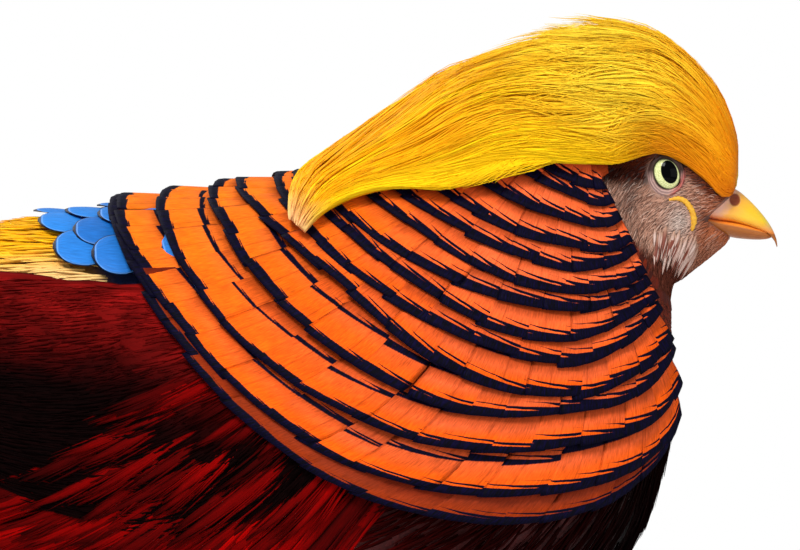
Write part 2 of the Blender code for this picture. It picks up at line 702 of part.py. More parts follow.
def grow_shank(name, side, finish):
    """The bare shank: a knob at the hock, a straight shaft stepped by scutes down its front, and a spur."""
    hock, foot = leg_point(HOCK, side), leg_point(BALL, side)
    start = hock - np.array([0, 0, 0.15])
    end = foot + np.array([0, 0, 5.5])
    run, radii, step = [0.0, 0.06, 0.14, 0.2], [1.15, 1.5, 1.4, 1.05], [0.0, 0.0, 0.0, 0.0]
    for k in range(SCUTES):
        top = 0.22 + 0.68 * k / SCUTES
        run += [top, top + 0.66 / SCUTES]
        radii += [0.98, 0.95]
        step += [0.1, SCUTE_STEP]
    run, radii, step = run + [0.93, 1.0], np.array(radii + [1.15, 1.3]), np.array(step + [0.0, 0.0])
    path = start + (end - start) * np.array(run)[:, None]
    rings = tube(path, SHANK_RADIUS * radii, SHANK_RADIUS * radii * 1.12, 8, facing=(0, 0, 1))
    facing_front = np.clip((rings - rings.mean(1, keepdims=True))[..., 0:1] / (SHANK_RADIUS * MM), 0, 1)
    rings = rings + facing_front * (step * MM)[:, None, None] * np.array([1.0, 0, 0])
    shank = mesh_object(name, *loft(rings), finish)
    spur_run = np.linspace(0, 1, 4)[:, None]
    spur_root = start + (end - start) * 0.66 + np.array([-1.0, 0, 0])
    spur = spur_root + np.array([-10.5, 0, 0]) * spur_run + np.array([0, 0, 2.4]) * spur_run**2
    thin = np.array([2.2, 1.8, 1.1, 0.2])
    return fuse(shank, [loft(tube(spur, thin, thin, 6))])


def toe_path(side, name):
    """Start, heading and length of a toe, from the ball of the foot."""
    turn, length, joints = TOES[name]
    heading = math.radians(turn) * side
    ahead = np.array([math.cos(heading), math.sin(heading), 0.0])
    return leg_point(BALL, side), ahead, length, joints


def grow_foot(name, side, finish):
    """The foot: a ball under the shank and four toes with padded joints, flat where they meet the floor."""
    ball_at = leg_point(BALL, side)
    foot = mesh_object(name, *ball(ball_at + np.array([0.5, 0, -0.6]), (6.2, 5.6, 6.0), 8, 6), finish)
    shapes = []
    for toe in TOES:
        start, ahead, length, joints = toe_path(side, toe)
        run = np.linspace(0, 1, 2 * joints + 1)
        swell = 1 + 0.12 * np.cos(run * joints * 2 * math.pi)
        radii = TOE_RADIUS * (1 - 0.36 * run) * swell
        radii[-1] *= 0.7
        drop = np.exp(-run * length / 7.0) * 4.0
        path = start * np.array([1, 1, 0]) + ahead * (length * run)[:, None]
        path[:, 2] = radii * 0.86 + drop
        across = np.array([-ahead[1], ahead[0], 0])
        shapes.append(loft(tube(path, radii * 1.08, radii, 6, across, ahead)))
    fuse(foot, shapes)
    cut(foot, [level_block(-20.0, 0.0)])
    return cut(foot, [level_block(BALL[2] + 5.2, BALL[2] + 30.0)])


def grow_claws(side, tag, finish):
    for toe in TOES:
        start, ahead, length, _ = toe_path(side, toe)
        size = 0.75 if toe == "hind" else 1.0
        run = np.linspace(0, 1, 4)
        tip_radius = TOE_RADIUS * 0.64 * 0.7
        path = start * np.array([1, 1, 0]) + ahead * (length + 0.35 + CLAW_LENGTH * size * run)[:, None]
        radii = tip_radius * 1.05 * (1 - run**1.4) + 0.16
        path[:, 2] = np.maximum(2.1 + 1.3 * np.sin(run * 2.2) - 2.6 * run**2, radii + 0.05)
        across = np.array([-ahead[1], ahead[0], 0])
        rings = tube(path, radii * 0.85, radii, 5, across, ahead)
        mesh_object(f"claw_{toe}_{tag}", *loft(rings), finish)


def build_bird():
    red = material("breast_red", (0.42, 0.012, 0.008), 0.6)
    gold = material("rump_gold", (0.9, 0.45, 0.03), 0.55)
    crest_gold = material("crest_gold", (0.95, 0.55, 0.02), 0.45)
    cape = material("cape_orange", (0.9, 0.2, 0.03), 0.5)
    face = material("face_buff", (0.5, 0.26, 0.16), 0.7)
    wing = material("wing_maroon", (0.16, 0.02, 0.015), 0.6)
    tail = material("tail_brown", (0.3, 0.15, 0.05), 0.55)
    horn = material("bill_horn", (0.85, 0.5, 0.1), 0.35)
    skin = material("leg_skin", (0.6, 0.42, 0.14), 0.5)
    claw = material("claw_horn", (0.22, 0.15, 0.08), 0.4)
    eye = material("eye_gloss", (0.75, 0.7, 0.35), 0.1)

    grow_torso_below(red)
    grow_back(gold)
    grow_neck(cape)
    grow_head(face)
    grow_crest(crest_gold)
    grow_bill(horn, horn)
    grow_tail(tail)
    for side, tag in ((1, "left"), (-1, "right")):
        grow_eye(f"eye_{tag}", side, eye)
        grow_wing(f"wing_{tag}", side, wing)
        grow_thigh(f"thigh_{tag}", side, red)
        grow_shank(f"shank_{tag}", side, skin)
        grow_foot(f"foot_{tag}", side, skin)
        grow_claws(side, tag, claw)


def grow_torso_below(finish):
    """The torso without the strip of the back."""
    torso = grow_torso(finish)
    return cut(torso, [back_prism(15.0 + GAP / MM, 0.0)])


def stand_on_origin():
    """Carries every piece on one empty, so that the origin is under the middle of the bird's length."""
    bpy.context.view_layer.update()
    corners = np.array([obj.matrix_world @ vert.co for obj in BIRD.objects for vert in obj.data.vertices])
    low, high = corners.min(0), corners.max(0)
    carrier = bpy.data.objects.new("bird_origin", None)
    bpy.context.scene.collection.objects.link(carrier)
    for obj in BIRD.objects:
        obj.parent = carrier
        obj.data.shade_smooth()
        obj.data.set_sharp_from_angle(angle=math.radians(35))
    carrier.location = (-(low[0] + high[0]) / 2, 0, 0)


clear_scene()
BIRD = bpy.data.collections.new("golden_pheasant")
HELPERS = bpy.data.collections.new("helpers")
bpy.context.scene.collection.children.link(BIRD)
bpy.context.scene.collection.children.link(HELPERS)
build_bird()
stand_on_origin()
bpy.data.collections.remove(HELPERS)
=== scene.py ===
import math

import bpy
import numpy as np
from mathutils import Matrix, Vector


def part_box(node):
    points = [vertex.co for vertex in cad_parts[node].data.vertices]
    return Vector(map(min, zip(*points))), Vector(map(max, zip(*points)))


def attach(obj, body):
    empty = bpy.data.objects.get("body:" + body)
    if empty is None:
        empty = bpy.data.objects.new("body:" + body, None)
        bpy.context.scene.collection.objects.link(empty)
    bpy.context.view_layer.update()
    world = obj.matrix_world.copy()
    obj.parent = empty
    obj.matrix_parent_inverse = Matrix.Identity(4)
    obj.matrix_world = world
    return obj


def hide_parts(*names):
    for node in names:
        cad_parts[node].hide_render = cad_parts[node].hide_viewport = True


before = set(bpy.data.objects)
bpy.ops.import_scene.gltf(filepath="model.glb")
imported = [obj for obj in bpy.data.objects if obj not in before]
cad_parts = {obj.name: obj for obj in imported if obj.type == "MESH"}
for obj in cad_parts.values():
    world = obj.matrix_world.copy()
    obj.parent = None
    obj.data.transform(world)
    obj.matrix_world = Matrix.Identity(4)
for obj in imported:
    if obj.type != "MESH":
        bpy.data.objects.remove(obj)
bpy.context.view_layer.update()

MM = 0.001
LOW_EYE, HIGH_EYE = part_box("eye_right")
SHIFT = (LOW_EYE[0] + HIGH_EYE[0]) / 2  # the bird's tables count x from its eye
draw = np.random.default_rng(20)

# Rings down the bird, bill to tail root, in millimetres: top x and z, bottom x and z, half width.
BODY_RINGS = [
    (19.8, 234.5, 18.2, 216.5, 6.2), (18.3, 245.0, 15.5, 214.3, 9.3), (12.5, 253.0, 11.5, 211.0, 12.0),
    (4.0, 258.0, 8.0, 208.3, 14.0), (-6.0, 260.0, 5.5, 206.3, 15.0), (-16.0, 258.0, 3.5, 205.0, 15.5),
    (-26.0, 254.0, 2.0, 203.5, 16.5), (-38.0, 250.0, 1.0, 196.0, 19.0),
    (-54.0, 246.5, 1.2, 186.0, 23.0), (-74.0, 239.5, 1.5, 173.0, 29.5),
    (-97.0, 233.0, -1.0, 155.0, 38.0), (-120.0, 229.0, -9.0, 133.0, 46.0),
    (-140.0, 226.0, -29.0, 111.0, 51.5), (-158.0, 223.0, -62.0, 95.0, 54.0),
    (-176.0, 221.5, -97.0, 89.5, 53.5), (-194.0, 218.5, -132.0, 91.0, 50.0),
    (-212.0, 214.5, -166.0, 98.0, 43.0), (-231.0, 209.5, -199.0, 112.0, 34.0),
    (-249.0, 203.0, -228.0, 134.0, 24.5), (-263.0, 198.0, -249.0, 158.0, 16.5),
    (-273.0, 194.0, -266.0, 174.0, 11.0), (-284.0, 190.0, -281.0, 180.0, 8.0),
]
# Rings down the crest: body station, middle angle, half spread, then its inner, edge and top height.
CREST_ROWS = [
    (0.1, 0, 54, 0.3, 0.7, 0.9), (0.6, 0, 84, 0.3, 0.8, 1.3), (1.3, 0, 95, 0.3, 0.9, 2.6),
    (2.1, 0, 88, 0.4, 1.0, 5.6), (3.0, 0, 80, 0.5, 1.4, 10.0), (4.0, 0, 73, 0.7, 2.2, 15.5),
    (5.0, 0, 73, 1.2, 3.2, 19.5), (5.9, -1, 71, 3.6, 5.2, 22.5), (6.9, -2, 61, 5.4, 7.4, 22.6),
    (8.0, -6, 46, 6.0, 8.2, 19.8), (9.0, -15.5, 31.5, 6.4, 8.6, 14.8), (9.8, -24.5, 16, 6.6, 8.8, 11.6),
    (10.4, -33, 9, 6.8, 9.0, 10.8), (11.0, -46, 2.4, 7.2, 9.0, 9.9),
]
# Rings of the bill from face to tip: top x and z, bottom x and z, half width at the top and at the bottom.
UPPER_BILL = [
    (14.8, 233.4, 9.4, 222.9, 3.6, 10.5), (16.8, 232.4, 12.4, 222.2, 4.6, 9.5),
    (18.7, 231.3, 15.2, 221.6, 4.7, 8.2), (21.2, 229.8, 18.6, 221.3, 4.4, 6.9),
    (24.5, 226.8, 22.8, 220.3, 3.7, 5.4), (27.5, 223.4, 26.2, 219.2, 2.8, 3.9),
    (29.8, 220.1, 28.7, 218.2, 1.7, 2.5), (31.1, 217.1, 30.5, 216.4, 0.8, 1.2),
    (31.5, 214.8, 31.3, 214.5, 0.25, 0.3),
]
LOWER_BILL = [
    (9.8, 223.2, 14.4, 217.8, 9.7, 4.8), (12.6, 222.6, 17.2, 217.5, 8.8, 4.8),
    (16.6, 222.0, 20.2, 217.0, 7.0, 4.4), (20.8, 221.3, 23.4, 216.7, 5.4, 3.7),
    (24.6, 220.2, 26.4, 216.6, 4.0, 2.9), (27.6, 219.2, 28.6, 216.8, 2.6, 1.8),
    (29.2, 218.2, 29.8, 217.2, 1.2, 0.8),
]
# Where each tier's tips lie, at shares 0, 0.2, 0.4, 0.6, 0.75, 0.85 and 1 across, in twelfths of the cape.
CAPE_TIPS = [
    (2.6, 2.5, 2.4, 2.34, 1.85, 1.35, 0.6), (3.6, 3.55, 3.4, 2.94, 2.5, 2.1, 1.2),
    (4.4, 4.35, 4.23, 4.0, 3.5, 3.0, 1.95), (5.2, 5.2, 5.1, 4.88, 4.42, 4.0, 2.8),
    (5.9, 5.85, 5.75, 5.52, 5.2, 4.55, 3.3), (6.4, 6.35, 6.25, 6.3, 5.94, 5.4, 4.4),
    (7.1, 7.12, 7.12, 6.85, 6.5, 5.95, 4.9), (7.5, 7.45, 7.5, 7.62, 7.32, 6.65, 5.64),
    (7.9, 8.0, 8.2, 8.15, 7.98, 7.4, 6.4), (8.9, 8.7, 8.6, 9.0, 8.86, 8.5, 8.1),
    (9.3, 9.6, 9.92, 9.86, 9.24, 9.1, 8.8), (10.6, 10.95, 11.12, 10.8, 10.15, 10.1, 10.7),
    (11.95, 12.0, 11.95, 11.8, 11.35, 11.3, 11.85), (12.1, 12.15, 12.25, 12.3, 12.1, 12.05, 12.1),
]
TWELFTHS = 12
EYE_CENTRE, EYE_RADIUS = (0.0, 8.6, 235.0), 7.0
# half width and height of the dimple that each eye sits in, and of the bare rim round it
LID_HALF, BARE_HALF = (4.7, 5.5), (5.2, 6.1)
UNDER_CAPE = 6.0  # how far the wing's feathers sink where the cape lies over them
WIDEST = 59 * MM  # how far to the side a thigh's feathers may reach
TAIL_LONG = 662
MAP_EDGE, MAP_SPAN = 0.02, 0.96  # border and used part of a map
# the camera's distance, the width that it sees there and its height over what it aims at, in metres
VIEW_FAR, VIEW_WIDE, VIEW_RISE = 2.2, 0.224, 0.03
SIDES = ((1, "left"), (-1, "right"))


# ---- small sums and colours ------------------------------------------------------------------

def unit(vectors):
    """Vectors made one long."""
    return vectors / (np.linalg.norm(vectors, axis=-1, keepdims=True) + 1e-12)


def circle(sides):
    """Cosines and sines of the corners of a ring."""
    turn = 2 * np.pi * np.arange(sides) / sides
    return np.cos(turn), np.sin(turn)


def taper(run, start=0.2, span=0.78, power=0.7):
    """Width along a strand: a half wave that starts a little open and ends in a point."""
    return np.sin(np.pi * np.clip(start + span * run, 0, 1)) ** power


def rounded(run, blunt, length, least):
    """Width along a feather with a round end: whole up to blunt, then a quarter of an oval."""
    return np.sqrt(np.clip(1 - np.clip((run - blunt) / length, 0, 1) ** 2, least, 1))


def oval(x, z, middle_x, middle_z, half_x, half_z):
    """Squared distance from an oval's middle, 1 on its rim."""
    return ((x - middle_x) / half_x) ** 2 + ((z - middle_z) / half_z) ** 2


def blend(value, low, high):
    """0 below low, 1 above high, smooth between."""
    t = np.clip((np.asarray(value, float) - low) / (high - low), 0, 1)
    return t * t * (3 - 2 * t)


def side_mm(points):
    """Places in side view, in millimetres from under the eye."""
    return (points[..., 0] - SHIFT) / MM, points[..., 2] / MM


def hue(*colour):
    """A colour from 0 to 255 as screens show it, made linear."""
    c = np.asarray(colour, float) / 255
    return np.where(c <= 0.04045, c / 12.92, ((c + 0.055) / 1.055) ** 2.4)


def mixed(a, b, share):
    """A colour a moved towards b by share."""
    return np.asarray(a) + (np.asarray(b) - np.asarray(a)) * np.asarray(share)[..., None]


def layered(colour, *coats):
    """Colours laid over one another, each by its own share."""
    for over, share in coats:
        colour = mixed(colour, over, share)
    return colour


# ---- the bird's own surface ------------------------------------------------------------------

def spline(rows, at):
    """Smooth curve through table rows, read at fractional row numbers (Catmull-Rom)."""
    rows = np.asarray(rows, float)
    padded = np.vstack([2 * rows[0] - rows[1], rows, 2 * rows[-1] - rows[-2]])
    at = np.clip(np.asarray(at, float), 0.0, len(rows) - 1.0)
    first = np.minimum(at.astype(int), len(rows) - 2)
    part = (at - first)[..., None]
    a, b, c, d = (padded[first + k] for k in range(4))
    square, cube = 2 * a - 5 * b + 4 * c - d, 3 * b - a - 3 * c + d
    return 0.5 * (2 * b + (c - a) * part + square * part**2 + cube * part**3)


def ring_point(station, angle):
    """Point of an oval ring: its top and bottom set the height, its half width the side. Angle in radians."""
    row = spline(BODY_RINGS, station) * MM
    top, bottom, half = row[..., 0:2], row[..., 2:4], row[..., 4]
    middle = (top + bottom) / 2 + (top - bottom) / 2 * np.cos(angle)[..., None]
    return np.stack([middle[..., 0] + SHIFT, half * np.sin(angle), middle[..., 1]], -1)


def on_body(station, angle, lift=0.0):
    """Ring point moved out along the surface's normal by lift millimetres. The angle is in degrees from the
    back, positive to the left."""
    station, angle, lift = np.broadcast_arrays(station, np.radians(angle), np.asarray(lift, float))
    step = 0.02
    along = ring_point(station + step, angle) - ring_point(station - step, angle)
    across = ring_point(station, angle + step) - ring_point(station, angle - step)
    return ring_point(station, angle) + unit(np.cross(across, along)) * (lift * MM)[..., None]


def pace(station, angle):
    """Millimetres down the body for one station, taken between places a step to either side."""
    step = 0.1
    gap = on_body(station + step, angle) - on_body(station - step, angle)
    return np.linalg.norm(gap, axis=-1) / (2 * step) / MM


def crest_point(at, across, depth):
    """Point of the crest at a table row: depth 0 is its inner face and 1 its outer one, domed across."""
    at, across, depth = np.broadcast_arrays(*(np.asarray(x, float) for x in (at, across, depth)))
    station, middle, spread, inner, edge, top = np.moveaxis(spline(CREST_ROWS, at), -1, 0)
    outer = edge + (top - edge) * (1 - np.abs(np.clip(across, -1, 1)) ** 2.3)
    return on_body(station, middle + spread * across, inner + (outer - inner) * depth)


def cape_place(tier, across):
    """Station and angle of a point of the cape. It droops: a tier lies further back at the side."""
    tier, across = np.broadcast_arrays(np.asarray(tier, float), np.asarray(across, float))
    share = np.clip(tier, 0, 1.25)
    back = 6.2 + 6.35 * tier
    front = 6.4 + 3.0 * share**1.45 + 3.0 * np.minimum(tier, 0)
    spread = 74 + 89 * (1 - np.clip(1 - share, 0, 1) ** 1.8)
    wave = np.clip(np.sin(math.pi * across), 0, 1) ** 0.7
    return back - (back - front) * np.clip(across, 0, 1.2) ** 3.2 + 0.65 * share * wave, spread * across


def cape_tip(tier, across):
    """Share down the cape (0 neck, 1 rear edge) at which a tier's tips lie, smooth between the table's shares
    across."""
    at = np.interp(np.clip(np.abs(across), 0, 1), (0, 0.2, 0.4, 0.6, 0.75, 0.85, 1.0), np.arange(7.0))
    every = spline(np.array(CAPE_TIPS).T, at)
    tier = np.broadcast_to(tier, at.shape)
    return np.take_along_axis(every, tier[..., None], -1)[..., 0] / TWELFTHS


def cape_cover(station, angle):
    """0 behind the cape's rear edge, rising to 1 well under it, at places on the body."""
    across = np.linspace(0, 1.0, 80)
    edge, turn = cape_place(cape_tip(12, across), across)
    limit = np.interp(np.abs(angle), turn, edge)
    return np.clip((limit - station) / 1.1, 0, 1) * (np.abs(angle) < turn[-1] + 4)


def wing_place(along, down):
    """Station and angle of a point of the folded wing, from its bend to its tip and from top to bottom."""
    along, down = np.broadcast_arrays(np.asarray(along, float), np.asarray(down, float))
    limits = spline([(50, 96), (41, 104), (34, 88), (30, 56)], np.clip(along, 0, 1) * 3)
    return 12.75 + 5.25 * along, limits[..., 0] + (limits[..., 1] - limits[..., 0]) * down


def tail_place(reach, y, layer=0.0):
    """Point of the tail's roof at a distance back from its root, off to the side, and down by layers."""
    reach, y, layer = np.broadcast_arrays(*(np.asarray(v, float) for v in (reach, y, layer)))
    pitch = 0.4 - 0.24 * reach / TAIL_LONG
    z = 186.5 - 0.155 * reach - 0.00003 * reach**2 - pitch * np.abs(y) - 1.15 * layer
    return np.stack([SHIFT - (266 + reach) * MM, y * MM, z * MM], -1)


def leg_point(x, y, z, side):
    """Point of a leg: the whole leg is set back, and its foot steps forward or back by side."""
    return np.array([(x - 38 - side * 7 * (1 - z / 128)) * MM + SHIFT, side * y * MM, z * MM])


def skin_side(x, z, side, lift=0.0):
    """Points of the skin at places given in side view (millimetres from under the eye), found on a fine table
    of the surface by weighting the nearest four by nearness."""
    station, angle = np.meshgrid(np.linspace(0.0, 9.0, 240), np.linspace(15, 178, 240), indexing="ij")
    table = on_body(station, angle, lift).reshape(-1, 3)
    x, z = np.broadcast_arrays(np.asarray(x, float), np.asarray(z, float))
    ahead = table[None, :, 0] - SHIFT - x.reshape(-1, 1) * MM
    far = np.hypot(ahead, table[None, :, 2] - z.reshape(-1, 1) * MM)
    near = np.argpartition(far, 4, axis=1)[:, :4]
    weight = 1 / (np.take_along_axis(far, near, 1) + 1e-6)
    y = (table[near, 1] * weight).sum(1) / weight.sum(1)
    return np.stack([x * MM + SHIFT, side * y.reshape(x.shape), z * MM], -1)


def bill_edge(z):
    """How far forward the feathered face reaches at a height: the slanting base of the bill."""
    return np.interp(z, (215, 217.8, 220, 222.5, 226, 229, 231.5, 235),
                     (19, 17.2, 13.6, 10.4, 14.2, 17.2, 19.4, 23))


# ---- meshes ----------------------------------------------------------------------------------

def lofts(name, rings, finish, slot, tint=None, reach=1.0, root=((0.5 / 97, 0.0),), cell=0.003,
          stands_for=()):
    """Closed bodies from rings of points. rings is bodies x rows x sides x 3, the sides run anticlockwise
    as seen from the next row, and both ends are capped. UV map Vane holds the share across (u) and the
    distance from the tip (v), either in units of reach or as reach gives it row by row. UV map OFBake holds
    one small patch for each body at its root's place."""
    rings = np.asarray(rings, float)
    n, rows, sides, _ = rings.shape
    index = np.arange(n * rows * sides).reshape(n, rows, sides)
    beside = np.roll(index, -1, 2)
    quads = np.stack([index[:, :-1], beside[:, :-1], beside[:, 1:], index[:, 1:]], -1).reshape(n, -1)
    caps = np.concatenate([index[:, 0, ::-1], index[:, -1]], 1)
    corner = np.concatenate([quads, caps], 1).ravel()
    sizes = np.concatenate([np.full((n, (rows - 1) * sides), 4), np.full((n, 2), sides)], 1).ravel()
    mesh = bpy.data.meshes.new(name)
    mesh.vertices.add(n * rows * sides)
    mesh.vertices.foreach_set("co", rings.astype(np.float32).ravel())
    mesh.loops.add(len(corner))
    mesh.loops.foreach_set("vertex_index", corner.astype(np.int32))
    mesh.polygons.add(len(sizes))
    mesh.polygons.foreach_set("loop_start", np.concatenate([[0], np.cumsum(sizes)[:-1]]).astype(np.int32))
    mesh.polygons.foreach_set("use_smooth", np.ones(len(sizes), bool))
    body, row, side = corner // (rows * sides), corner // sides % rows, corner % sides
    across = 0.5 + 0.5 * np.cos(2 * np.pi * side / sides)
    along = 1 - row / (rows - 1)
    reach = np.asarray(reach, float)
    far = reach[body, row] if reach.ndim == 2 else along * np.broadcast_to(reach, (n,))[body]
    bake = mesh.uv_layers.new(name="OFBake")
    cell = np.broadcast_to(np.asarray(cell, float), (2,))
    patch = np.asarray(root, float)[body] + cell * (np.stack([across, along], -1) - 0.5)
    bake.data.foreach_set("uv", np.clip(patch, 0.0005, 0.9995).astype(np.float32).ravel())
    layer = mesh.uv_layers.new(name="Vane")
    layer.data.foreach_set("uv", np.stack([across, far], -1).astype(np.float32).ravel())
    layer.active_render = True
    if tint is not None:
        tint = np.asarray(tint, float)
        if tint.ndim == 2:
            tint = np.repeat(tint[:, None], rows, 1)
        paint_tint(mesh, np.repeat(tint[:, :, None], sides, 2), draw.random(n)[:, None, None])
    mesh.update(calc_edges=True)
    return place(name, mesh, finish, slot, stands_for)


def paint_tint(mesh, colour, luck):
    """Keep a colour and a chance number for every point, in the shape of colour."""
    flat = np.ones(colour.shape[:-1] + (4,), np.float32)
    flat[..., :3], flat[..., 3] = colour[..., :3], luck
    paint = mesh.color_attributes.new(name="tint", type="FLOAT_COLOR", domain="POINT")
    paint.data.foreach_set("color", flat.ravel())


def loft_painted(name, rings, tint, finish, slot, stands_for=()):
    """One closed body from rows x sides x 3 points with a colour for every point."""
    piece = lofts(name, rings[None], finish, slot, stands_for=stands_for, root=((0.5, 0.5),), cell=0.98)
    paint_tint(piece.data, tint, 0.5)
    return piece


def place(name, mesh, finish, slot, stands_for=()):
    """Put a finished mesh into the scene as a piece of the bird."""
    piece = bpy.data.objects.new(name, mesh)
    bpy.context.scene.collection.objects.link(piece)
    mesh.materials.append(finish)
    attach(piece, "root")
    if stands_for:
        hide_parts(*stands_for)
    return piece


def vane_rings(spine, normal, half, camber=0.0, thick=0.35, sides=8):
    """Rings of flat vanes: an oval of half width and half thickness, domed by camber, square to the spine.
    spine and normal are bodies x rows x 3, and the measures are in millimetres."""
    along = unit(np.gradient(spine, axis=1))
    across = unit(np.cross(normal, along))
    up = np.cross(along, across)
    x, z = circle(sides)
    shape = spine.shape[:2]
    half, camber, thick = (np.broadcast_to(np.asarray(v, float), shape) for v in (half, camber, thick))
    out = z[None, None] * thick[..., None] / 2 + (1 - x**2)[None, None] * camber[..., None]
    return (spine[:, :, None] + across[:, :, None] * (x * half[..., None] * MM)[..., None]
            + up[:, :, None] * (out * MM)[..., None])


def skin_vanes(station, angle, lift):
    """Points along feathers whose station, angle and lift are given for each row, with the skin's normal."""
    points = on_body(station, angle, lift)
    return points, unit(on_body(station, angle, lift + 1.0) - points)


def strands(name, spine, normal, half, finish, slot, tint, root):
    """Three-sided strands along their spines, as thick as half their width."""
    rings = vane_rings(spine, normal, half, 0.0, half, 3)
    return lofts(name, rings, finish, slot, tint, root=root)


def torus(name, grid, finish, slot):
    """A ring closed both ways from a grid of points, turn by section."""
    n, m, _ = grid.shape
    index = np.arange(n * m).reshape(n, m)
    beside = np.roll(index, -1, 1)
    faces = np.stack([index, beside, np.roll(beside, -1, 0), np.roll(index, -1, 0)], -1)
    mesh = bpy.data.meshes.new(name)
    mesh.from_pydata(grid.reshape(-1, 3).tolist(), [], faces.reshape(-1, 4).tolist())
    mesh.polygons.foreach_set("use_smooth", np.ones(n * m, bool))
    mesh.update(calc_edges=True)
    return place(name, mesh, finish, slot)


def unwrap(station, angle):
    """Place of a root on the skin's own unwrap: round the ring (u) and down the body (v)."""
    last = len(BODY_RINGS) - 1.0
    return np.stack([MAP_EDGE + MAP_SPAN * (np.asarray(angle) % 360) / 360,
                     MAP_EDGE + MAP_SPAN * np.clip(np.asarray(station) / last, 0, 1)], -1)


def fit_unit(uv):
    """Spread root places so that one piece uses most of its own map."""
    low, high = uv.min(0), uv.max(0)
    return MAP_EDGE + MAP_SPAN * (uv - low) / np.maximum(high - low, 1e-6)


# ---- finishes --------------------------------------------------------------------------------

def maths(kind, swapped=False):
    """A method that adds one maths node of this kind; swapped puts the other value first."""
    def method(self, other):
        """One maths node on the two values."""
        return self.owner.math(kind, *((other, self) if swapped else (self, other)))
    return method


class Value:
    """A node's output. Sums, differences, products, quotients and powers of it each add one maths node."""
    __add__, __sub__, __rsub__ = maths("ADD"), maths("SUBTRACT"), maths("SUBTRACT", True)
    __mul__, __truediv__, __pow__ = maths("MULTIPLY"), maths("DIVIDE"), maths("POWER")

    def __init__(self, owner, socket):
        """Keep the finish that owns the node, and the socket."""
        self.owner, self.socket = owner, socket


class Finish:
    """A node material built step by step; each call returns the new node's output."""

    def __init__(self, name, rough=0.6, **settings):
        """A new material with its roughness and any other inputs of the shader set."""
        self.material = bpy.data.materials.new(name)
        self.material.use_nodes = True
        self.nodes, self.links = self.material.node_tree.nodes, self.material.node_tree.links
        self.shader = self.nodes["Principled BSDF"]
        self.shader.inputs["Roughness"].default_value = rough
        for key, value in settings.items():
            self.shader.inputs[key.replace("_", " ")].default_value = value

    def feed(self, socket, value):
        """Give a socket a node's output, a colour or a number."""
        if isinstance(value, Value):
            self.links.new(value.socket, socket)
        elif np.ndim(value) and socket.type == "RGBA":
            socket.default_value = (*value[:3], 1)
        else:
            socket.default_value = value

    def node(self, kind, *values, **inputs):
        """Add a node and feed its inputs, by number and by name."""
        made = self.nodes.new("ShaderNode" + kind)
        for key, value in [*enumerate(values), *inputs.items()]:
            self.feed(made.inputs[key], value)
        return made

    def first(self, *args, **inputs):
        """Add a node and give its first output."""
        return Value(self, self.node(*args, **inputs).outputs[0])

    def apart(self, vector):
        """The three parts of a vector."""
        return [Value(self, one) for one in self.node("SeparateXYZ", vector).outputs]

    def place(self, scale=(1, 1, 1)):
        """The place on the object in metres, scaled."""
        coords = Value(self, self.nodes.new("ShaderNodeTexCoord").outputs["Object"])
        return self.first("Mapping", Vector=coords, Scale=scale)

    def side_view(self, low=0.0):
        """Millimetres ahead of the eye and above a height."""
        x, _, z = self.apart(self.place())
        return (x - float(SHIFT)) * 1000.0, (z - low * MM) * 1000.0

    def vane(self):
        """Share across the feather and distance from its tip."""
        made = self.nodes.new("ShaderNodeUVMap")
        made.uv_map = "Vane"
        return self.apart(Value(self, made.outputs[0]))[:2]

    def tint(self):
        """The painted colour and the chance number kept with it."""
        made = self.nodes.new("ShaderNodeVertexColor")
        made.layer_name = "tint"
        return Value(self, made.outputs["Color"]), Value(self, made.outputs["Alpha"])

    def math(self, kind, *values):
        """Add one maths node."""
        made = self.node("Math", *values)
        made.operation = kind
        return Value(self, made.outputs[0])

    def chance(self, luck, stride):
        """Another chance number from 0 to 1 for the same feather."""
        return self.math("FRACT", luck * stride)

    def noise(self, at, scale, detail=2.0, rough=0.5):
        """Cloudy noise from 0 to 1."""
        return self.first("TexNoise", Vector=at, Scale=scale, Detail=detail, Roughness=rough)

    def streaks(self, x, y, *how):
        """Noise over two values."""
        return self.noise(self.first("CombineXYZ", x, y), *how)

    def ramp(self, value, *stops):
        """Colours or greys set at spots from 0 to 1, with straight blends between."""
        made = self.node("ValToRGB", value)
        band = made.color_ramp
        while len(band.elements) < len(stops):
            band.elements.new(0.5)
        for element, (spot, colour) in zip(band.elements, stops):
            element.position = spot
            element.color = (*colour, 1) if np.ndim(colour) else (colour, colour, colour, 1)
        return Value(self, made.outputs[0])

    def mix(self, share, a, b, kind="MIX"):
        """Blend a into b by share, or multiply a by b."""
        made = self.nodes.new("ShaderNodeMix")
        made.data_type, made.blend_type = "RGBA", kind
        for at, value in ((0, share), (6, a), (7, b)):
            self.feed(made.inputs[at], value)
        return Value(self, made.outputs[2])

    def shade(self, colour, value, *stops):
        """A colour made darker or lighter by a value's ramp."""
        return self.mix(1.0, colour, self.ramp(value, *stops), "MULTIPLY")

    def finish(self, colour, bump=None, strength=0.3, distance=0.0004):
        """Set the colour and the bumps, and give the material."""
        self.feed(self.shader.inputs["Base Color"], colour)
        if bump is not None:
            bumps = self.first("Bump", Height=bump, Strength=strength, Distance=distance)
            self.feed(self.shader.inputs["Normal"], bumps)
        return self.material


def strand_finish(name, rough=0.5, streak=0.35, sheen=0.2, **settings):
    """Fine feathering: each strand's own tint, paler and darker along it in fine streaks."""
    f = Finish(name, rough, Sheen_Weight=sheen, **settings)
    colour, luck = f.tint()
    u, v = f.vane()
    grain = f.streaks((u + luck) * 9.0, (v + luck) * 2.2, 3.0, 3.0)
    colour = f.shade(colour, grain, (0.25, 1 - streak), (0.75, 1 + streak))
    return f.finish(colour, bump=grain, strength=0.25)


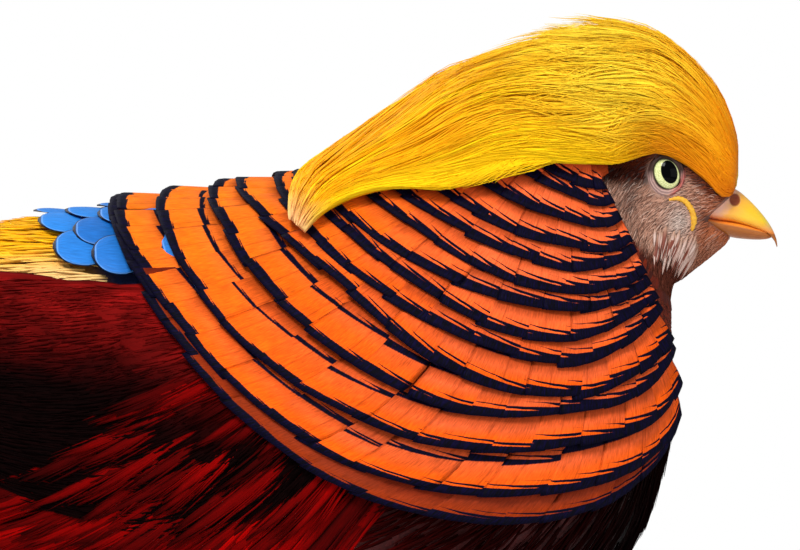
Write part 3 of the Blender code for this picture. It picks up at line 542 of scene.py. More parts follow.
def barred_finish():
    """Cape feather: bars of blue-black on an orange vane, by the distance from its tip in centimetres. The
    bar's root side runs out in long slanting blades towards the back, and a second bar follows where a wide
    gap shows it."""
    f = Finish("orange_barred_blue_black", 0.65, Specular_IOR_Level=0.06)
    colour, luck = f.tint()
    u, v = f.vane()
    own, sharp = luck * 37.0 + u * 1.5, 34.0
    front = f.first("Clamp", (f.apart(f.place())[0] - float(SHIFT)) * 22.0 + 2.2)
    slow, fine = f.streaks(own, v * 0.4, 1.6, 2.0, 0.5), f.streaks(own, 0.0, 26.0, 2.0, 0.6)
    blade = f.math("FRACT", slow * 0.7 + (v * 4.6 + own) * 0.9)
    tall = (1.0 - blade) ** 1.7 * (front * 0.24 + 0.05)
    edge = tall + slow * 0.16 + (fine * 0.07 + 0.1) + f.chance(luck, 7.31) * 0.1
    first = f.first("Clamp", (edge - v) * sharp)
    start = f.chance(luck, 3.77) * 0.25 + 0.98
    begun = f.first("Clamp", (v - (fine * 0.06 + start)) * sharp)
    second = begun * f.first("Clamp", (edge + (start - 0.08) - v) * sharp)
    barbs = f.streaks(own * 15.0, v * 1.2, 2.6, 2.0, 0.6)
    base = f.shade(colour, barbs, (0.28, 0.62), (0.72, 1.18))
    base = f.shade(base, f.streaks(own * 1.2, v, 1.6, 2.0), (0.3, 0.84), (0.7, 1.1))
    split = f.math("ABSOLUTE", u - (f.chance(luck, 5.13) * 0.6 + 0.2))
    base = f.mix(f.ramp(split, (0.008, 0.3), (0.02, 0.0)), base, hue(110, 26, 2))
    ink = f.mix(f.ramp(barbs, (0.42, 0.0), (0.75, 1.0)), hue(2, 1, 8), hue(11, 5, 48))
    return f.finish(f.mix(f.math("MAXIMUM", first, second), base, ink), bump=barbs, strength=0.35)


def scale_finish(name, rim, pale, rough=0.4):
    """Scale feather: coloured middle, a thin pale line, then a dark rim that follows its rounded end."""
    f = Finish(name, rough, Specular_IOR_Level=0.2)
    colour, luck = f.tint()
    u, v = f.vane()
    out = f.math("ABSOLUTE", (u - 0.5) * 2.0)
    near = f.math("MAXIMUM", 1.0 - v * 2.6, 0.0)
    edge = f.math("SQRT", (out * 0.95) ** 6.0 + near ** 3.0)
    barbs = f.streaks(luck * 30.0 + u * 14.0, v * 1.5, 3.0, 3.0)
    body = f.shade(colour, barbs, (0.25, 0.72), (0.75, 1.22))
    body = f.mix(f.ramp(edge, (0.66, 0.0), (0.72, 0.6), (0.74, 0.6), (0.78, 0.0)), body, pale)
    body = f.mix(f.ramp(edge, (0.76, 0.0), (0.83, 1.0)), body, rim)
    return f.finish(body, bump=barbs, strength=0.3)


def lock_finish():
    """Broad soft lock: fine barbs that run along it, darker towards both edges."""
    f = Finish("soft_red_locks", 0.8, Specular_IOR_Level=0.03)
    colour, luck = f.tint()
    u, v = f.vane()
    barbs = f.streaks((luck * 31.0 + (v * 0.25 + u)) * 9.0, v * 1.1, 2.4, 3.0, 0.6)
    out = f.shade(colour, barbs, (0.3, 0.45), (0.7, 1.3))
    out = f.shade(out, f.math("ABSOLUTE", u - 0.5), (0.2, 1.0), (0.5, 0.25))
    return f.finish(out, bump=barbs, strength=0.3)


def skin_finish():
    """Down under the feathers: the painted colour, darker and bumpy in fine noise."""
    f = Finish("skin_under_feathers", 0.75, Sheen_Weight=0.1)
    colour, _ = f.tint()
    down = f.noise(f.place(), 900.0, 4.0)
    colour = f.shade(colour, down, (0.3, 0.45), (0.75, 1.0))
    return f.finish(colour, bump=down, strength=0.6, distance=0.0008)


def tail_finish():
    """Long tail feather: dark ground with cinnamon spots and a pale shaft."""
    f = Finish("spotted_tail", 0.5, Sheen_Weight=0.1)
    colour, _ = f.tint()
    u, v = f.vane()
    cells = f.first("TexVoronoi", Vector=f.first("CombineXYZ", u * 3.2, v), Scale=1.45, Randomness=0.7)
    barbs = f.streaks(u * 40.0, v * 3.0, 1.5, 3.0)
    base = f.mix(f.ramp(cells, (0.30, 1.0), (0.42, 0.0)), hue(28, 18, 12), colour)
    shaft = f.ramp(f.math("ABSOLUTE", u - 0.5), (0.015, 1.0), (0.03, 0.0))
    base = f.mix(shaft, base, hue(70, 44, 22))
    return f.finish(f.shade(base, barbs, (0.25, 0.75), (0.75, 1.2)), bump=barbs, strength=0.3)


def eye_finish():
    """Pale speckled iris, wider behind than in front, round a tall black pupil, with a thin dark rim."""
    f = Finish("eye_gloss", 0.04, Specular_IOR_Level=0.05)
    x, z = f.side_view(EYE_CENTRE[2])
    lean = z * 0.16 + x
    white = f.math("SQRT", oval(lean, z, 0.0, 0.0, 3.7, 4.4))
    pupil = f.math("SQRT", oval(lean, z, 0.75, 0.55, 2.35, 3.3))
    speck = f.noise(f.place(), 2600.0, 4.0, 0.8)
    iris = f.mix(f.ramp(speck, (0.35, 0.0), (0.6, 1.0)), hue(176, 182, 112), hue(232, 236, 176))
    iris = f.mix(f.ramp(white, (0.86, 0.0), (0.97, 1.0)), iris, hue(26, 16, 10))
    return f.finish(f.mix(f.ramp(pupil, (0.95, 1.0), (1.0, 0.0)), iris, hue(2, 2, 3)))


def lid_finish():
    """Bare lid skin: dark at the top as painted shade under the brow, greyish pink below with fine wrinkles
    round the eye darkened in their creases as painted shade, redder ahead.
    """
    f = Finish("eyelid", 0.5, Subsurface_Weight=0.1, Specular_IOR_Level=0.3)
    x, z = f.side_view(EYE_CENTRE[2])
    ring = f.math("SQRT", oval(x, z, 0.0, 0.0, 3.75, 4.4))
    crease = f.math("SINE", f.noise(f.place(), 700.0, 2.0) * 5.0 + ring * 34.0)
    # painted shade: the upper lid dark under the brow
    colour = f.mix(f.ramp(z * -0.14 + 0.5, (0.35, 0.0), (0.75, 1.0)), hue(46, 22, 14), hue(190, 150, 140))
    colour = f.mix(f.ramp(z * -0.1 + x * 0.16, (0.62, 0.0), (0.85, 0.8)), colour, hue(196, 84, 74))
    colour = f.mix(f.ramp(ring, (0.98, 1.0), (1.08, 0.0)), colour, hue(30, 14, 12))
    # painted shade: darker lines in the wrinkles' creases
    out = f.mix(f.ramp(crease, (0.0, 0.5), (0.35, 0.0)), colour, hue(70, 40, 34))
    return f.finish(out, bump=crease, strength=0.4, distance=0.0002)


def horn_finish():
    """Bill horn: pinkish white along its base, yellow ridge, orange along the mouth line, painted shade in
    dark orange-brown below it on the lower horn, pale greenish tip, and a dark red nostril painted as the
    shade of its hollow."""
    f = Finish("bill_horn", 0.35, Specular_IOR_Level=0.3, Subsurface_Weight=0.06)
    x, z = f.side_view()
    grain = f.noise(f.place((1, 1, 3)), 500.0, 4.0)
    along = ((z - 222.0) * -0.75 + x - 9.5) / 22.0
    colour = f.ramp(grain * 0.1 + (along - 0.05), (0.0, hue(228, 150, 132)), (0.16, hue(236, 178, 156)),
                    (0.3, hue(238, 166, 60)), (0.55, hue(244, 190, 30)), (0.85, hue(226, 196, 40)),
                    (1.0, hue(196, 204, 140)))
    line = z - ((x - 10.0) * -0.2 + 222.6)
    colour = f.mix(f.ramp(line * 0.2 + 0.1, (0.1, 0.9), (0.65, 0.0)), colour, hue(240, 122, 30))
    # painted shade: the lower horn darkened below the mouth line
    colour = f.mix(f.ramp(line * 0.5 + 0.5, (0.2, 0.92), (0.5, 0.0)), colour, hue(140, 68, 14))
    # painted shade: the nostril's hollow in dark red
    nostril = oval(x, z, 19.3, 227.8, 1.75, 2.0)
    hole = f.ramp(nostril, (0.55, 1.0), (1.1, 0.0))
    colour = f.mix(f.ramp(nostril, (0.9, 0.0), (1.3, 0.8), (2.6, 0.0)), colour, hue(240, 190, 178))
    out = f.mix(grain * 0.3, f.mix(hole, colour, hue(112, 14, 4)), hue(200, 140, 70))
    return f.finish(out, bump=grain * 0.1 - hole, strength=0.5, distance=0.0006)


def leg_finish():
    """Scaled skin: two yellows in noise, with brown lines between cells."""
    f = Finish("leg_scales", 0.45, Subsurface_Weight=0.05)
    at = f.place((1, 1, 1.6))
    cells = f.first("TexVoronoi", Vector=at, Scale=420.0)
    colour = f.mix(f.noise(at, 90.0, 3.0), hue(150, 122, 62), hue(206, 176, 98))
    out = f.mix(f.ramp(cells, (0.0, 0.0), (0.5, 0.7)), colour, hue(104, 82, 44))
    return f.finish(out, bump=cells, strength=0.5, distance=0.0005)


def horn_claw():
    """Dark horn: two browns in fine noise."""
    f = Finish("claw_horn", 0.35)
    grain = f.noise(f.place(), 700.0, 3.0)
    return f.finish(f.mix(grain, hue(52, 36, 22), hue(104, 78, 50)), bump=grain, strength=0.2)


# ---- markings --------------------------------------------------------------------------------

def face_tint(x, z):
    """Markings of the face by place in side view (millimetres from under the eye): pinkish tan cheek, painted
    shade in dark brown behind and above the eye next to the cape and along under the crest's edge, pale patch
    under the eye, dark red-brown throat side, orange-brown chin."""
    def spot(*place):
        """1 in an oval's middle, falling off as a bell."""
        return np.exp(-oval(x, z, *place))
    brow = np.interp(x, (-8, 0, 5, 9, 12, 15), (237, 239, 234, 230, 228, 226.5))
    throat = np.interp(x, (-9, -4, 0, 4, 12), (216, 213.5, 211, 208.5, 207))
    return layered(
        mixed(hue(186, 140, 118), hue(166, 104, 78), blend(x, 4, 12)),
        (hue(208, 188, 176), spot(3.5, 221.5, 3.6, 4.5) * 0.95),
        (hue(126, 96, 84), spot(-10.5, 229, 3.0, 7.0) * 0.9),
        # painted shade: dark brown behind and above the eye, next to the cape
        (hue(50, 16, 8), blend(-x, 3.0, 6.5) * blend(z, 229.5, 234)),
        # painted shade: orange-brown band under the crest's edge
        (hue(96, 36, 14), blend(z - brow, -1.0, 2.2) * 0.9),
        (hue(188, 104, 62), spot(14.0, 218.0, 5.0, 6.5) * 0.9),
        (hue(204, 148, 122), spot(13.0, 214.5, 2.2, 3.0) * 0.6),
        (hue(92, 34, 20), blend(throat - z, -1.0, 2.0) * 0.92),
        (hue(70, 22, 16), spot(11.0, 222.6, 1.8, 1.2) * 0.9))


def coat_tint(station, angle, points):
    """Markings of the whole body: face, blue mantle, golden back and rump, deep red breast and belly, darker
    towards the underside as painted shade.
    """
    x, z = side_mm(points)
    station = np.asarray(station, float)
    upper = np.abs((np.asarray(angle) + 180) % 360 - 180)
    return layered(
        # painted shade: the red darkens towards the underside
        mixed(hue(104, 4, 2), hue(40, 2, 4), blend(upper, 120, 172)),
        (hue(150, 12, 2), blend(station, 15.5, 19.5)),
        (hue(238, 160, 6), blend(62 - upper, 0, 8) * blend(station, 12.9, 13.6)),
        (hue(16, 40, 110), blend(66 - upper, 0, 8) * blend(13.7 - station, 0, 0.4)),
        (hue(60, 14, 8), blend(11.0 - station, 0, 0.4)), (face_tint(x, z), blend(8.6 - station, 0, 0.8)))


def crest_tint(at, across, depth, luck):
    """Deep orange on the forehead, gold down the middle, lighter lemon streaks along the lower edge, a
    painted highlight in lemon streaks over the crown's top, painted shade in brown along the edge above the
    eye, and painted shade darkening the crest's deeper layers."""
    at, across, depth = np.broadcast_arrays(at, across, depth)
    luck = luck[..., None]
    # painted highlight: lemon streaks over the crown's top, where the light falls
    crown = np.exp(-((at - 6.2) / 2.2) ** 2) * blend(1.1 - np.abs(across), 0.05, 0.5)
    edge = blend(np.abs(across), 0.66, 1.0) * (at > 0.5)
    colour = layered(
        mixed(hue(238, 132, 0), hue(248, 160, 0), blend(at + 1.0 * luck, 1.4, 4.2)),
        (hue(255, 188, 0), blend(at + 1.6 * luck, 4.2, 6.4) * blend(10.5 - at, 0, 2.5)),
        (hue(255, 176, 0), blend(at, 8.5, 11.0)),
        (hue(255, 226, 60), crown * (0.45 + 0.55 * blend(luck, 0.3, 0.8))),
        (hue(255, 212, 10), blend(luck, 0.6, 0.95) * blend(at, 6.5, 9.0)),
        (hue(250, 206, 20), blend(0.9 - at, 0, 0.7) * 0.8),
        # painted shade: brown along the crest's edge above the eye, under its overhang
        (hue(206, 104, 0), edge * blend(6.6 - at, 0, 1.6) * 0.7),
        (hue(255, 212, 10), edge * blend(at, 6.5, 8.0) * 0.7),
        (hue(246, 196, 160), blend(at, 12.2, 13.0) * 0.6))
    # painted shade: the deeper layers darker, for the shade between the locks
    return colour * (0.92 + 0.16 * luck[..., None]) * (0.84 + 0.16 * blend(depth, 0.35, 0.9))[..., None]


def wing_tint(along, down):
    """Maroon over the shoulder in soft patches, a painted red sheen by the cape's edge, fading to black lower
    down.
    """
    patch = 0.5 + 0.5 * np.sin(21 * along + 5 * np.sin(9 * down)) * np.sin(13 * down + 4 * np.sin(17 * along))
    # painted sheen: red along the cape's edge
    cape_edge_sheen = 0.5 * np.exp(-((along - 0.03) / 0.12) ** 2) * blend(1 - down, 0.15, 0.6)
    # share of red: maroon over the shoulder, plus the painted sheen by the cape
    maroon_and_sheen = (0.35 + 0.65 * patch) * (0.75 * blend(0.5 - down, 0, 0.4) + cape_edge_sheen)
    return mixed(hue(9, 0, 0), hue(142, 16, 14), np.clip(maroon_and_sheen, 0, 1))


# ---- skin, cape and crest --------------------------------------------------------------------

def grow_skin():
    """One closed skin down the bird, sunk by the coat's depth, dimpled where each eye sits and drawn in
    where the bill's base covers it."""
    station = np.linspace(0.0, 21.0, 230)
    angle = np.linspace(0, 360, 128, endpoint=False)
    around = np.abs((angle + 180) % 360 - 180)
    crown = 0.9 * blend(3.0 - station, 0, 2.0)[:, None] * blend(80 - around, 0, 40)[None]
    sunk = -0.25 - 2.0 * blend(station, 6.5, 9.0)[:, None] - crown
    grid = on_body(station[:, None], angle[None, :], sunk)
    x, z = side_mm(grid)
    grid[..., 1] *= 1 - 0.5 * blend(x - bill_edge(z), -0.3, 2.2)
    for side in (-1, 1):
        far = np.hypot(x / LID_HALF[0], (z - EYE_CENTRE[2]) / LID_HALF[1])
        near = (np.sign(grid[..., 1]) == side) * (1 - blend(far, 0.76, 1.0))
        grid[..., 1] -= side * near * 5.0 * MM
    tint = coat_tint(station[:, None], angle[None, :], grid) * 0.85
    return loft_painted("skin", grid[:, ::-1], tint[:, ::-1], skin_finish(), "breast",
                        ("head", "torso", "back", "thigh_left", "thigh_right"))


def grow_cape():
    """Tiers of broad square-ended feathers on each side. Every feather is a patch of the cape's own surface,
    by share down and share across, so that the bars of a tier run on from one to the next in small steps.
    Its tip follows the tier's curve, and painted shadow browns it where the tier above comes down over it."""
    finish = barred_finish()
    run = np.array([0.0, 0.22, 0.42, 0.57, 0.69, 0.79, 0.88, 0.95, 1.0])
    share = np.array([0.55, 0.8, 0.93, 1.0, 1.0, 1.0, 1.0, 0.99, 0.95])
    ring_x, ring_z = circle(10)
    for side, word in SIDES:
        tiers, places, halves = [], [], []
        for n in range(len(CAPE_TIPS)):
            line = np.linspace(0, 1, 60)
            edge = on_body(*cape_place(cape_tip(n, line), line))
            span = np.linalg.norm(np.diff(edge, axis=0), axis=1).sum() / MM
            count = max(6, round(span / (6.5 + 0.55 * n)))
            across = (np.arange(-1, count + 1) + 0.5 + 0.5 * (n % 2)) / count
            across = across[across < 1.0 + 0.2 / count]
            tiers.append(np.full(len(across), n))
            places.append(across + draw.normal(0, 0.1 / count, len(across)))
            halves.append(np.full(len(across), 0.68 / count))
        tier, across, half = (np.concatenate(v) for v in (tiers, places, halves))
        n = len(tier)
        wide = half[:, None, None] * share[None, :, None]
        over = np.clip(across[:, None, None] + wide * ring_x, -0.25, 1.01)
        long = np.where(tier == 0, 3.6, 2.7) / TWELFTHS
        end = cape_tip(tier[:, None, None], over) + draw.uniform(-0.004, 0.004, n)[:, None, None]
        end = end + (draw.normal(0, 0.0015, n)[:, None, None] - 0.002) * ring_x
        neck = -0.12 + 0.02 * run[None, :, None]
        down = np.maximum(end - long[:, None, None] * (1 - run)[None, :, None], neck)
        station, angle = cape_place(down, np.abs(over))
        angle = angle * np.sign(over + 1e-9)
        tip = end.mean((1, 2))
        top = 2.6 + 2.5 * np.clip(tip, 0, 1)
        lift = -1.4 + (top + 1.4 + draw.normal(0, 0.14, n))[:, None] * run**0.8
        roll = (0.14 + draw.normal(0, 0.04, n))[:, None, None] * ring_x
        roll = roll * np.clip(2 * run, 0, 1)[None, :, None]
        heights = lift[:, :, None] - roll + 0.2 * ring_z + 0.3 * (1 - ring_x**2) * run[None, :, None]
        rings = on_body(station, side * angle, heights)
        if side > 0:
            rings = rings[:, :, ::-1]
        step = np.linalg.norm(np.diff(rings.mean(2), axis=1), axis=-1) / MM
        far = np.concatenate([np.cumsum(step[:, ::-1], 1)[:, ::-1], np.zeros((n, 1))], 1)
        middle = np.clip(across, 0, 1)
        above = np.where(tier == 0, -0.05, cape_tip(np.maximum(tier - 1, 0), middle))
        gap = (cape_tip(tier, middle) - above) * far[:, 0] / long
        share_shown = far / np.maximum(gap, 2.0)[:, None]
        orange, salmon, gold, brown = hue(252, 94, 8), hue(232, 100, 60), hue(252, 130, 18), hue(140, 46, 8)
        lower = blend(middle, 0.42, 0.62) * blend(tier, 5, 9) * (1 - 0.5 * blend(middle, 0.86, 0.98))
        tint = mixed(orange, gold, blend(0.5 - middle, 0, 0.4) * 0.7)
        upper = blend(8.5 - tier, 0, 3) * blend(middle, 0.3, 0.6)
        tint = mixed(tint, hue(255, 112, 60), (0.6 + 0.3 * draw.random(n)) * upper)
        tint = tint * draw.uniform(0.92, 1.04, n)[:, None]
        pink = (0.15 + 0.2 * draw.random(n) + 0.45 * lower)[:, None] * blend(share_shown, 0.4, 0.75)
        # painted shadow: brown near the tier above and where the gap to it is small, partly the feather's
        # browner base
        shade_under_tier = (blend(share_shown, 0.8, 1.05) * 0.8 + blend(4.6 - gap, 0, 2.5)[:, None] * 0.5).clip(0, 0.92)
        last = (tier == 13)[:, None] * (0.75 + 0 * far)
        tint = layered(np.repeat(tint[:, None], len(run), 1), (salmon * 0.92, pink), (brown, shade_under_tier),
                       (hue(96, 14, 2), last))
        root = np.stack([0.04 + 0.92 * middle, 0.03 + 0.93 * (tier + 0.5) / len(CAPE_TIPS)], -1)
        lofts(f"cape_feathers_{word}", rings, finish, "cape", tint, far / 10, root=root, cell=(0.036, 0.06),
              stands_for=("neck_cape",) if side == 1 else ())


def crest_batch(name, locks, each, start, length, depth, half, finish, stray=0.0, spread=0.05,
                sides=(-1, 1), down=0.0, over_lift=0.0, rows=8):
    """Silky locks that follow the crest's dome: each lock's strands start apart and draw together at its
    tip."""
    count = locks * each
    run = np.linspace(0, 1, rows)

    def lock(low, high):
        """One draw from a range for each lock, shared by its strands."""
        return np.repeat(draw.uniform(low, high, locks), each)
    begin = lock(*start) + draw.normal(0, 0.14, count)
    span = lock(*length) * draw.uniform(0.75, 1.12, count)
    middle = np.repeat(draw.uniform(sides[0], sides[1], locks), each)
    apart = draw.normal(0, spread, count)
    drift = np.repeat(draw.normal(0, 0.05, locks), each)
    deep = lock(*depth) + draw.normal(0, 0.02, count)
    at = begin[:, None] + span[:, None] * run
    at = np.where(at > 12.4, 12.4 + 0.55 * np.tanh((at - 12.4) / 0.9), np.maximum(at, 0))
    bend = np.sin(run * np.pi) * np.repeat(draw.normal(0, 0.035, locks), each)[:, None]
    aside = (drift[:, None] + np.sign(middle)[:, None] * down) * run**1.3
    over = middle[:, None] + apart[:, None] * (1 - 0.75 * run) + bend + aside
    limit = 1.0 + (0.3 * (down > 0.1)) * blend(at, 8.4, 9.2) * blend(11.0 - at, 0, 1.5)
    over = np.clip(over, -limit, limit)
    rise = (deep - 0.3)[:, None] + (0.3 + stray * draw.random(count)[:, None]) * run**0.6
    rise = rise + over_lift * np.clip(np.abs(over) - 0.9, 0, 1)
    points = crest_point(at, over, rise)
    normal = unit(crest_point(at, over, rise + 0.2) - points)
    width = half * draw.uniform(0.7, 1.3, count)[:, None] * taper(run, 0.14, 0.85, 0.6)
    rings = vane_rings(points, normal, width, 0.0, 2 * width * 0.7, 3)
    luck = np.clip(np.repeat(draw.random(locks), each) * 0.75 + 0.25 * draw.random(count), 0, 1)
    root = fit_unit(np.stack([0.5 + 0.5 * middle + 0.02 * apart, begin / 13], -1))
    return lofts(name, rings, finish, "crest", crest_tint(at, over, rise, luck), root=root)


def grow_crest():
    """A shell of the crest's depth under layers of silky locks, with loose ones above, along the edge and
    behind."""
    finish = strand_finish("golden_silk", 0.55, 0.05, 0.0, Specular_IOR_Level=0.1)
    at = np.linspace(0.02, 12.85, 90)
    half = np.linspace(-1, 1, 33)
    upper = crest_point(at[:, None], half[None, :], 0.72)
    lower = crest_point(at[:, None], half[None, ::-1], 0.0)
    over = np.concatenate([half, half[::-1]])[None, :]
    # painted shade: the shell under the locks is darker, for the shade in the gaps between them
    tint = crest_tint(at[:, None], over, 0.6, np.full(len(at), 0.3)) * 0.85
    rings = np.concatenate([upper, lower], 1)
    loft_painted("crest_shell", rings[:, ::-1], tint[:, ::-1], finish, "crest", ("crest",))
    crest_batch("crest_under", 240, 10, (-0.1, 10.5), (2.0, 4.0), (0.62, 0.84), 0.44, finish, spread=0.07,
                rows=6)
    crest_batch("crest_over", 290, 12, (-0.1, 9.8), (1.9, 4.2), (0.84, 0.99), 0.28, finish, spread=0.06,
                rows=7)
    crest_batch("crest_top", 230, 14, (-0.1, 9.6), (1.8, 4.0), (0.94, 1.02), 0.2, finish, 0.08, spread=0.05,
                rows=7)
    for side, word in SIDES:
        def ends(low, high):
            """A range across the crest on this side."""
            return (low, high) if side > 0 else (-high, -low)
        crest_batch(f"crest_edge_{word}", 84, 12, (0.4, 9.5), (1.4, 2.6), (0.4, 0.95), 0.26, finish,
                    spread=0.05, sides=ends(0.72, 0.97), down=0.05, rows=7)
        crest_batch(f"crest_fringe_{word}", 60, 12, (7.8, 10.2), (1.3, 2.4), (0.4, 0.9), 0.2, finish,
                    spread=0.06, sides=ends(0.78, 0.95), down=0.24, over_lift=0.8, rows=7)
    crest_batch("crest_wisps", 7, 16, (3.2, 4.6), (2.2, 3.2), (1.0, 1.03), 0.22, finish, 0.2, spread=0.03,
                sides=(-0.3, 0.15))


# ---- small feathers --------------------------------------------------------------------------

def coat_batch(name, count, station, angle, length, half, lift, finish, slot, tint, rows=5, spread=0.0,
               keep=None, droop=0.0, shine=(0.85, 1.15), root=-0.6):
    """Small feathers on the skin: each starts sunk and runs back down the body, rising to its lift."""
    s = draw.uniform(station[0], station[1], count)
    a = draw.uniform(min(angle), max(angle), count)
    if keep is not None:
        chosen = keep(s, a)
        s, a = s[chosen], a[chosen]
        count = len(s)
    run = np.linspace(0, 1, rows)
    reach = draw.uniform(length[0], length[1], count) / np.maximum(pace(s, a), 4)
    stations = s[:, None] + reach[:, None] * run
    astray = draw.normal(0, spread, count)[:, None] * run
    angles = a[:, None] + np.sign(a)[:, None] * droop * run + astray
    rise = draw.uniform(lift[0], lift[1], count)
    heights = root + (rise[:, None] - root) * run**0.8
    spine, normal = skin_vanes(stations, angles, heights)
    width = half * draw.uniform(0.75, 1.25, count)[:, None] * taper(run)
    colour = tint(stations, angles, spine) * draw.uniform(shine[0], shine[1], count)[:, None, None]
    return strands(name, spine, normal, width, finish, slot, colour, fit_unit(unwrap(s, a)))


def scales(name, station, angle, length, half, lift, finish, slot, tint, rows=8, blunt=0.55, camber=0.9):
    """Round-ended body feathers given one by one: station, angle, length and half width in millimetres, and
    the lift of the tip."""
    n = len(station)
    run = np.linspace(0, 1, rows) ** 0.8
    stations = station[:, None] + (length / pace(station, angle))[:, None] * run
    heights = -1.0 + (np.broadcast_to(lift, n)[:, None] + 1.0) * run**0.85
    spine, normal = skin_vanes(stations, angle[:, None] + 0 * run, heights)
    share = rounded(run, blunt, 1.003 - blunt, 0.0025) * np.clip(0.45 + run, 0, 1)
    rings = vane_rings(spine, normal, np.broadcast_to(half, n)[:, None] * share, camber * share, 0.4, 12)
    return lofts(name, rings, finish, slot, tint, 1.0, root=fit_unit(unwrap(station, angle)), cell=0.05)


def grow_face():
    """Short smooth feathers of face, ears and chin, leaving each eye and the bill clear; longer pale pointed
    ones hang from the lower cheek, and small dark scaly ones run down the throat."""
    finish = strand_finish("short_face_feathers", 0.85, 0.1, 0.0, Specular_IOR_Level=0.06)
    throat = scale_finish("throat_scales", hue(74, 24, 10), hue(140, 66, 34), 0.8)

    def clear(s, a):
        """Roots whose feather stays outside the lids and behind the bill's base."""
        out = np.ones(len(s), bool)
        for ahead in (0.0, 0.12, 0.3):
            p = on_body(s + ahead, a)
            x, z = side_mm(p)
            far = np.hypot(x / BARE_HALF[0], (z - EYE_CENTRE[2]) / BARE_HALF[1])
            out &= (far > 1.0) & (x < bill_edge(z) + 0.4)
        return out

    def mottled(_station, _angle, points):
        """The face's markings, with some feathers paler and some darker by chance."""
        x, z = side_mm(points)
        luck = draw.random((len(points), 1))
        pale = blend(luck, 0.78, 0.95) * 0.4 * blend(z, 208, 216) * blend(236 - z, 0, 5)
        dark = blend(0.3 - luck, 0.0, 0.3) * 0.5
        return layered(face_tint(x, z), (hue(226, 196, 180), pale), (hue(96, 44, 28), dark))

    for side, word in SIDES:
        coat_batch(f"face_feathers_{word}", 6200, (0.1, 8.0), (side * 56, side * 180), (2.0, 3.8), 0.23,
                   (0.12, 0.32), finish, "face", mottled, rows=4, keep=clear, spread=1.5, shine=(0.9, 1.08),
                   droop=2.0, root=-0.3)
        # pale pointed feathers: roots in side view, each running down and back
        n = 64
        x = draw.uniform(-3.5, 9.0, n)
        z = np.interp(x, (-6, 0, 4, 9), (216, 215.5, 214.5, 213)) + draw.uniform(-1.5, 5.0, n)
        run = np.linspace(0, 1, 8)
        long = draw.uniform(4.5, 8.5, n)[:, None]
        px = x[:, None] - long * run * (0.16 + 0.035 * x[:, None])
        pz = z[:, None] - long * run * 0.95
        points = skin_side(px, np.maximum(pz, 205.2), side, 0.0)
        points[..., 1] += side * (0.02 + 0.75 * run**0.9) * MM
        normal = np.broadcast_to((0.0, side, 0.0), points.shape)
        width = 0.5 * draw.uniform(0.7, 1.3, n)[:, None]
        width = width * np.array([0.3, 0.75, 1.0, 1.0, 0.85, 0.6, 0.35, 0.06])
        pale = mixed(hue(184, 146, 132), hue(214, 186, 174), draw.random(n))
        tip = mixed(pale, hue(120, 50, 34), (draw.random(n) < 0.45) * 0.9)
        fade = blend(run, 0.0, 0.5)
        tint = mixed(np.tile(hue(178, 138, 116), (n, len(run), 1)), tip[:, None], fade[None, :])
        lofts(f"cheek_feathers_{word}", vane_rings(points, normal, width, 0.12, 0.25, 6), finish, "face",
              tint, root=fit_unit(np.stack([x, z], -1)))
        n = 420
        s, a = draw.uniform(6.2, 8.4, n), side * draw.uniform(112, 180, n)
        tint = mixed(hue(122, 34, 6), hue(56, 14, 4), draw.random(n))
        scales(f"throat_feathers_{word}", s, a, draw.uniform(4.2, 6.0, n), 1.45, 0.7, throat, "face", tint,
               rows=5, camber=0.15)


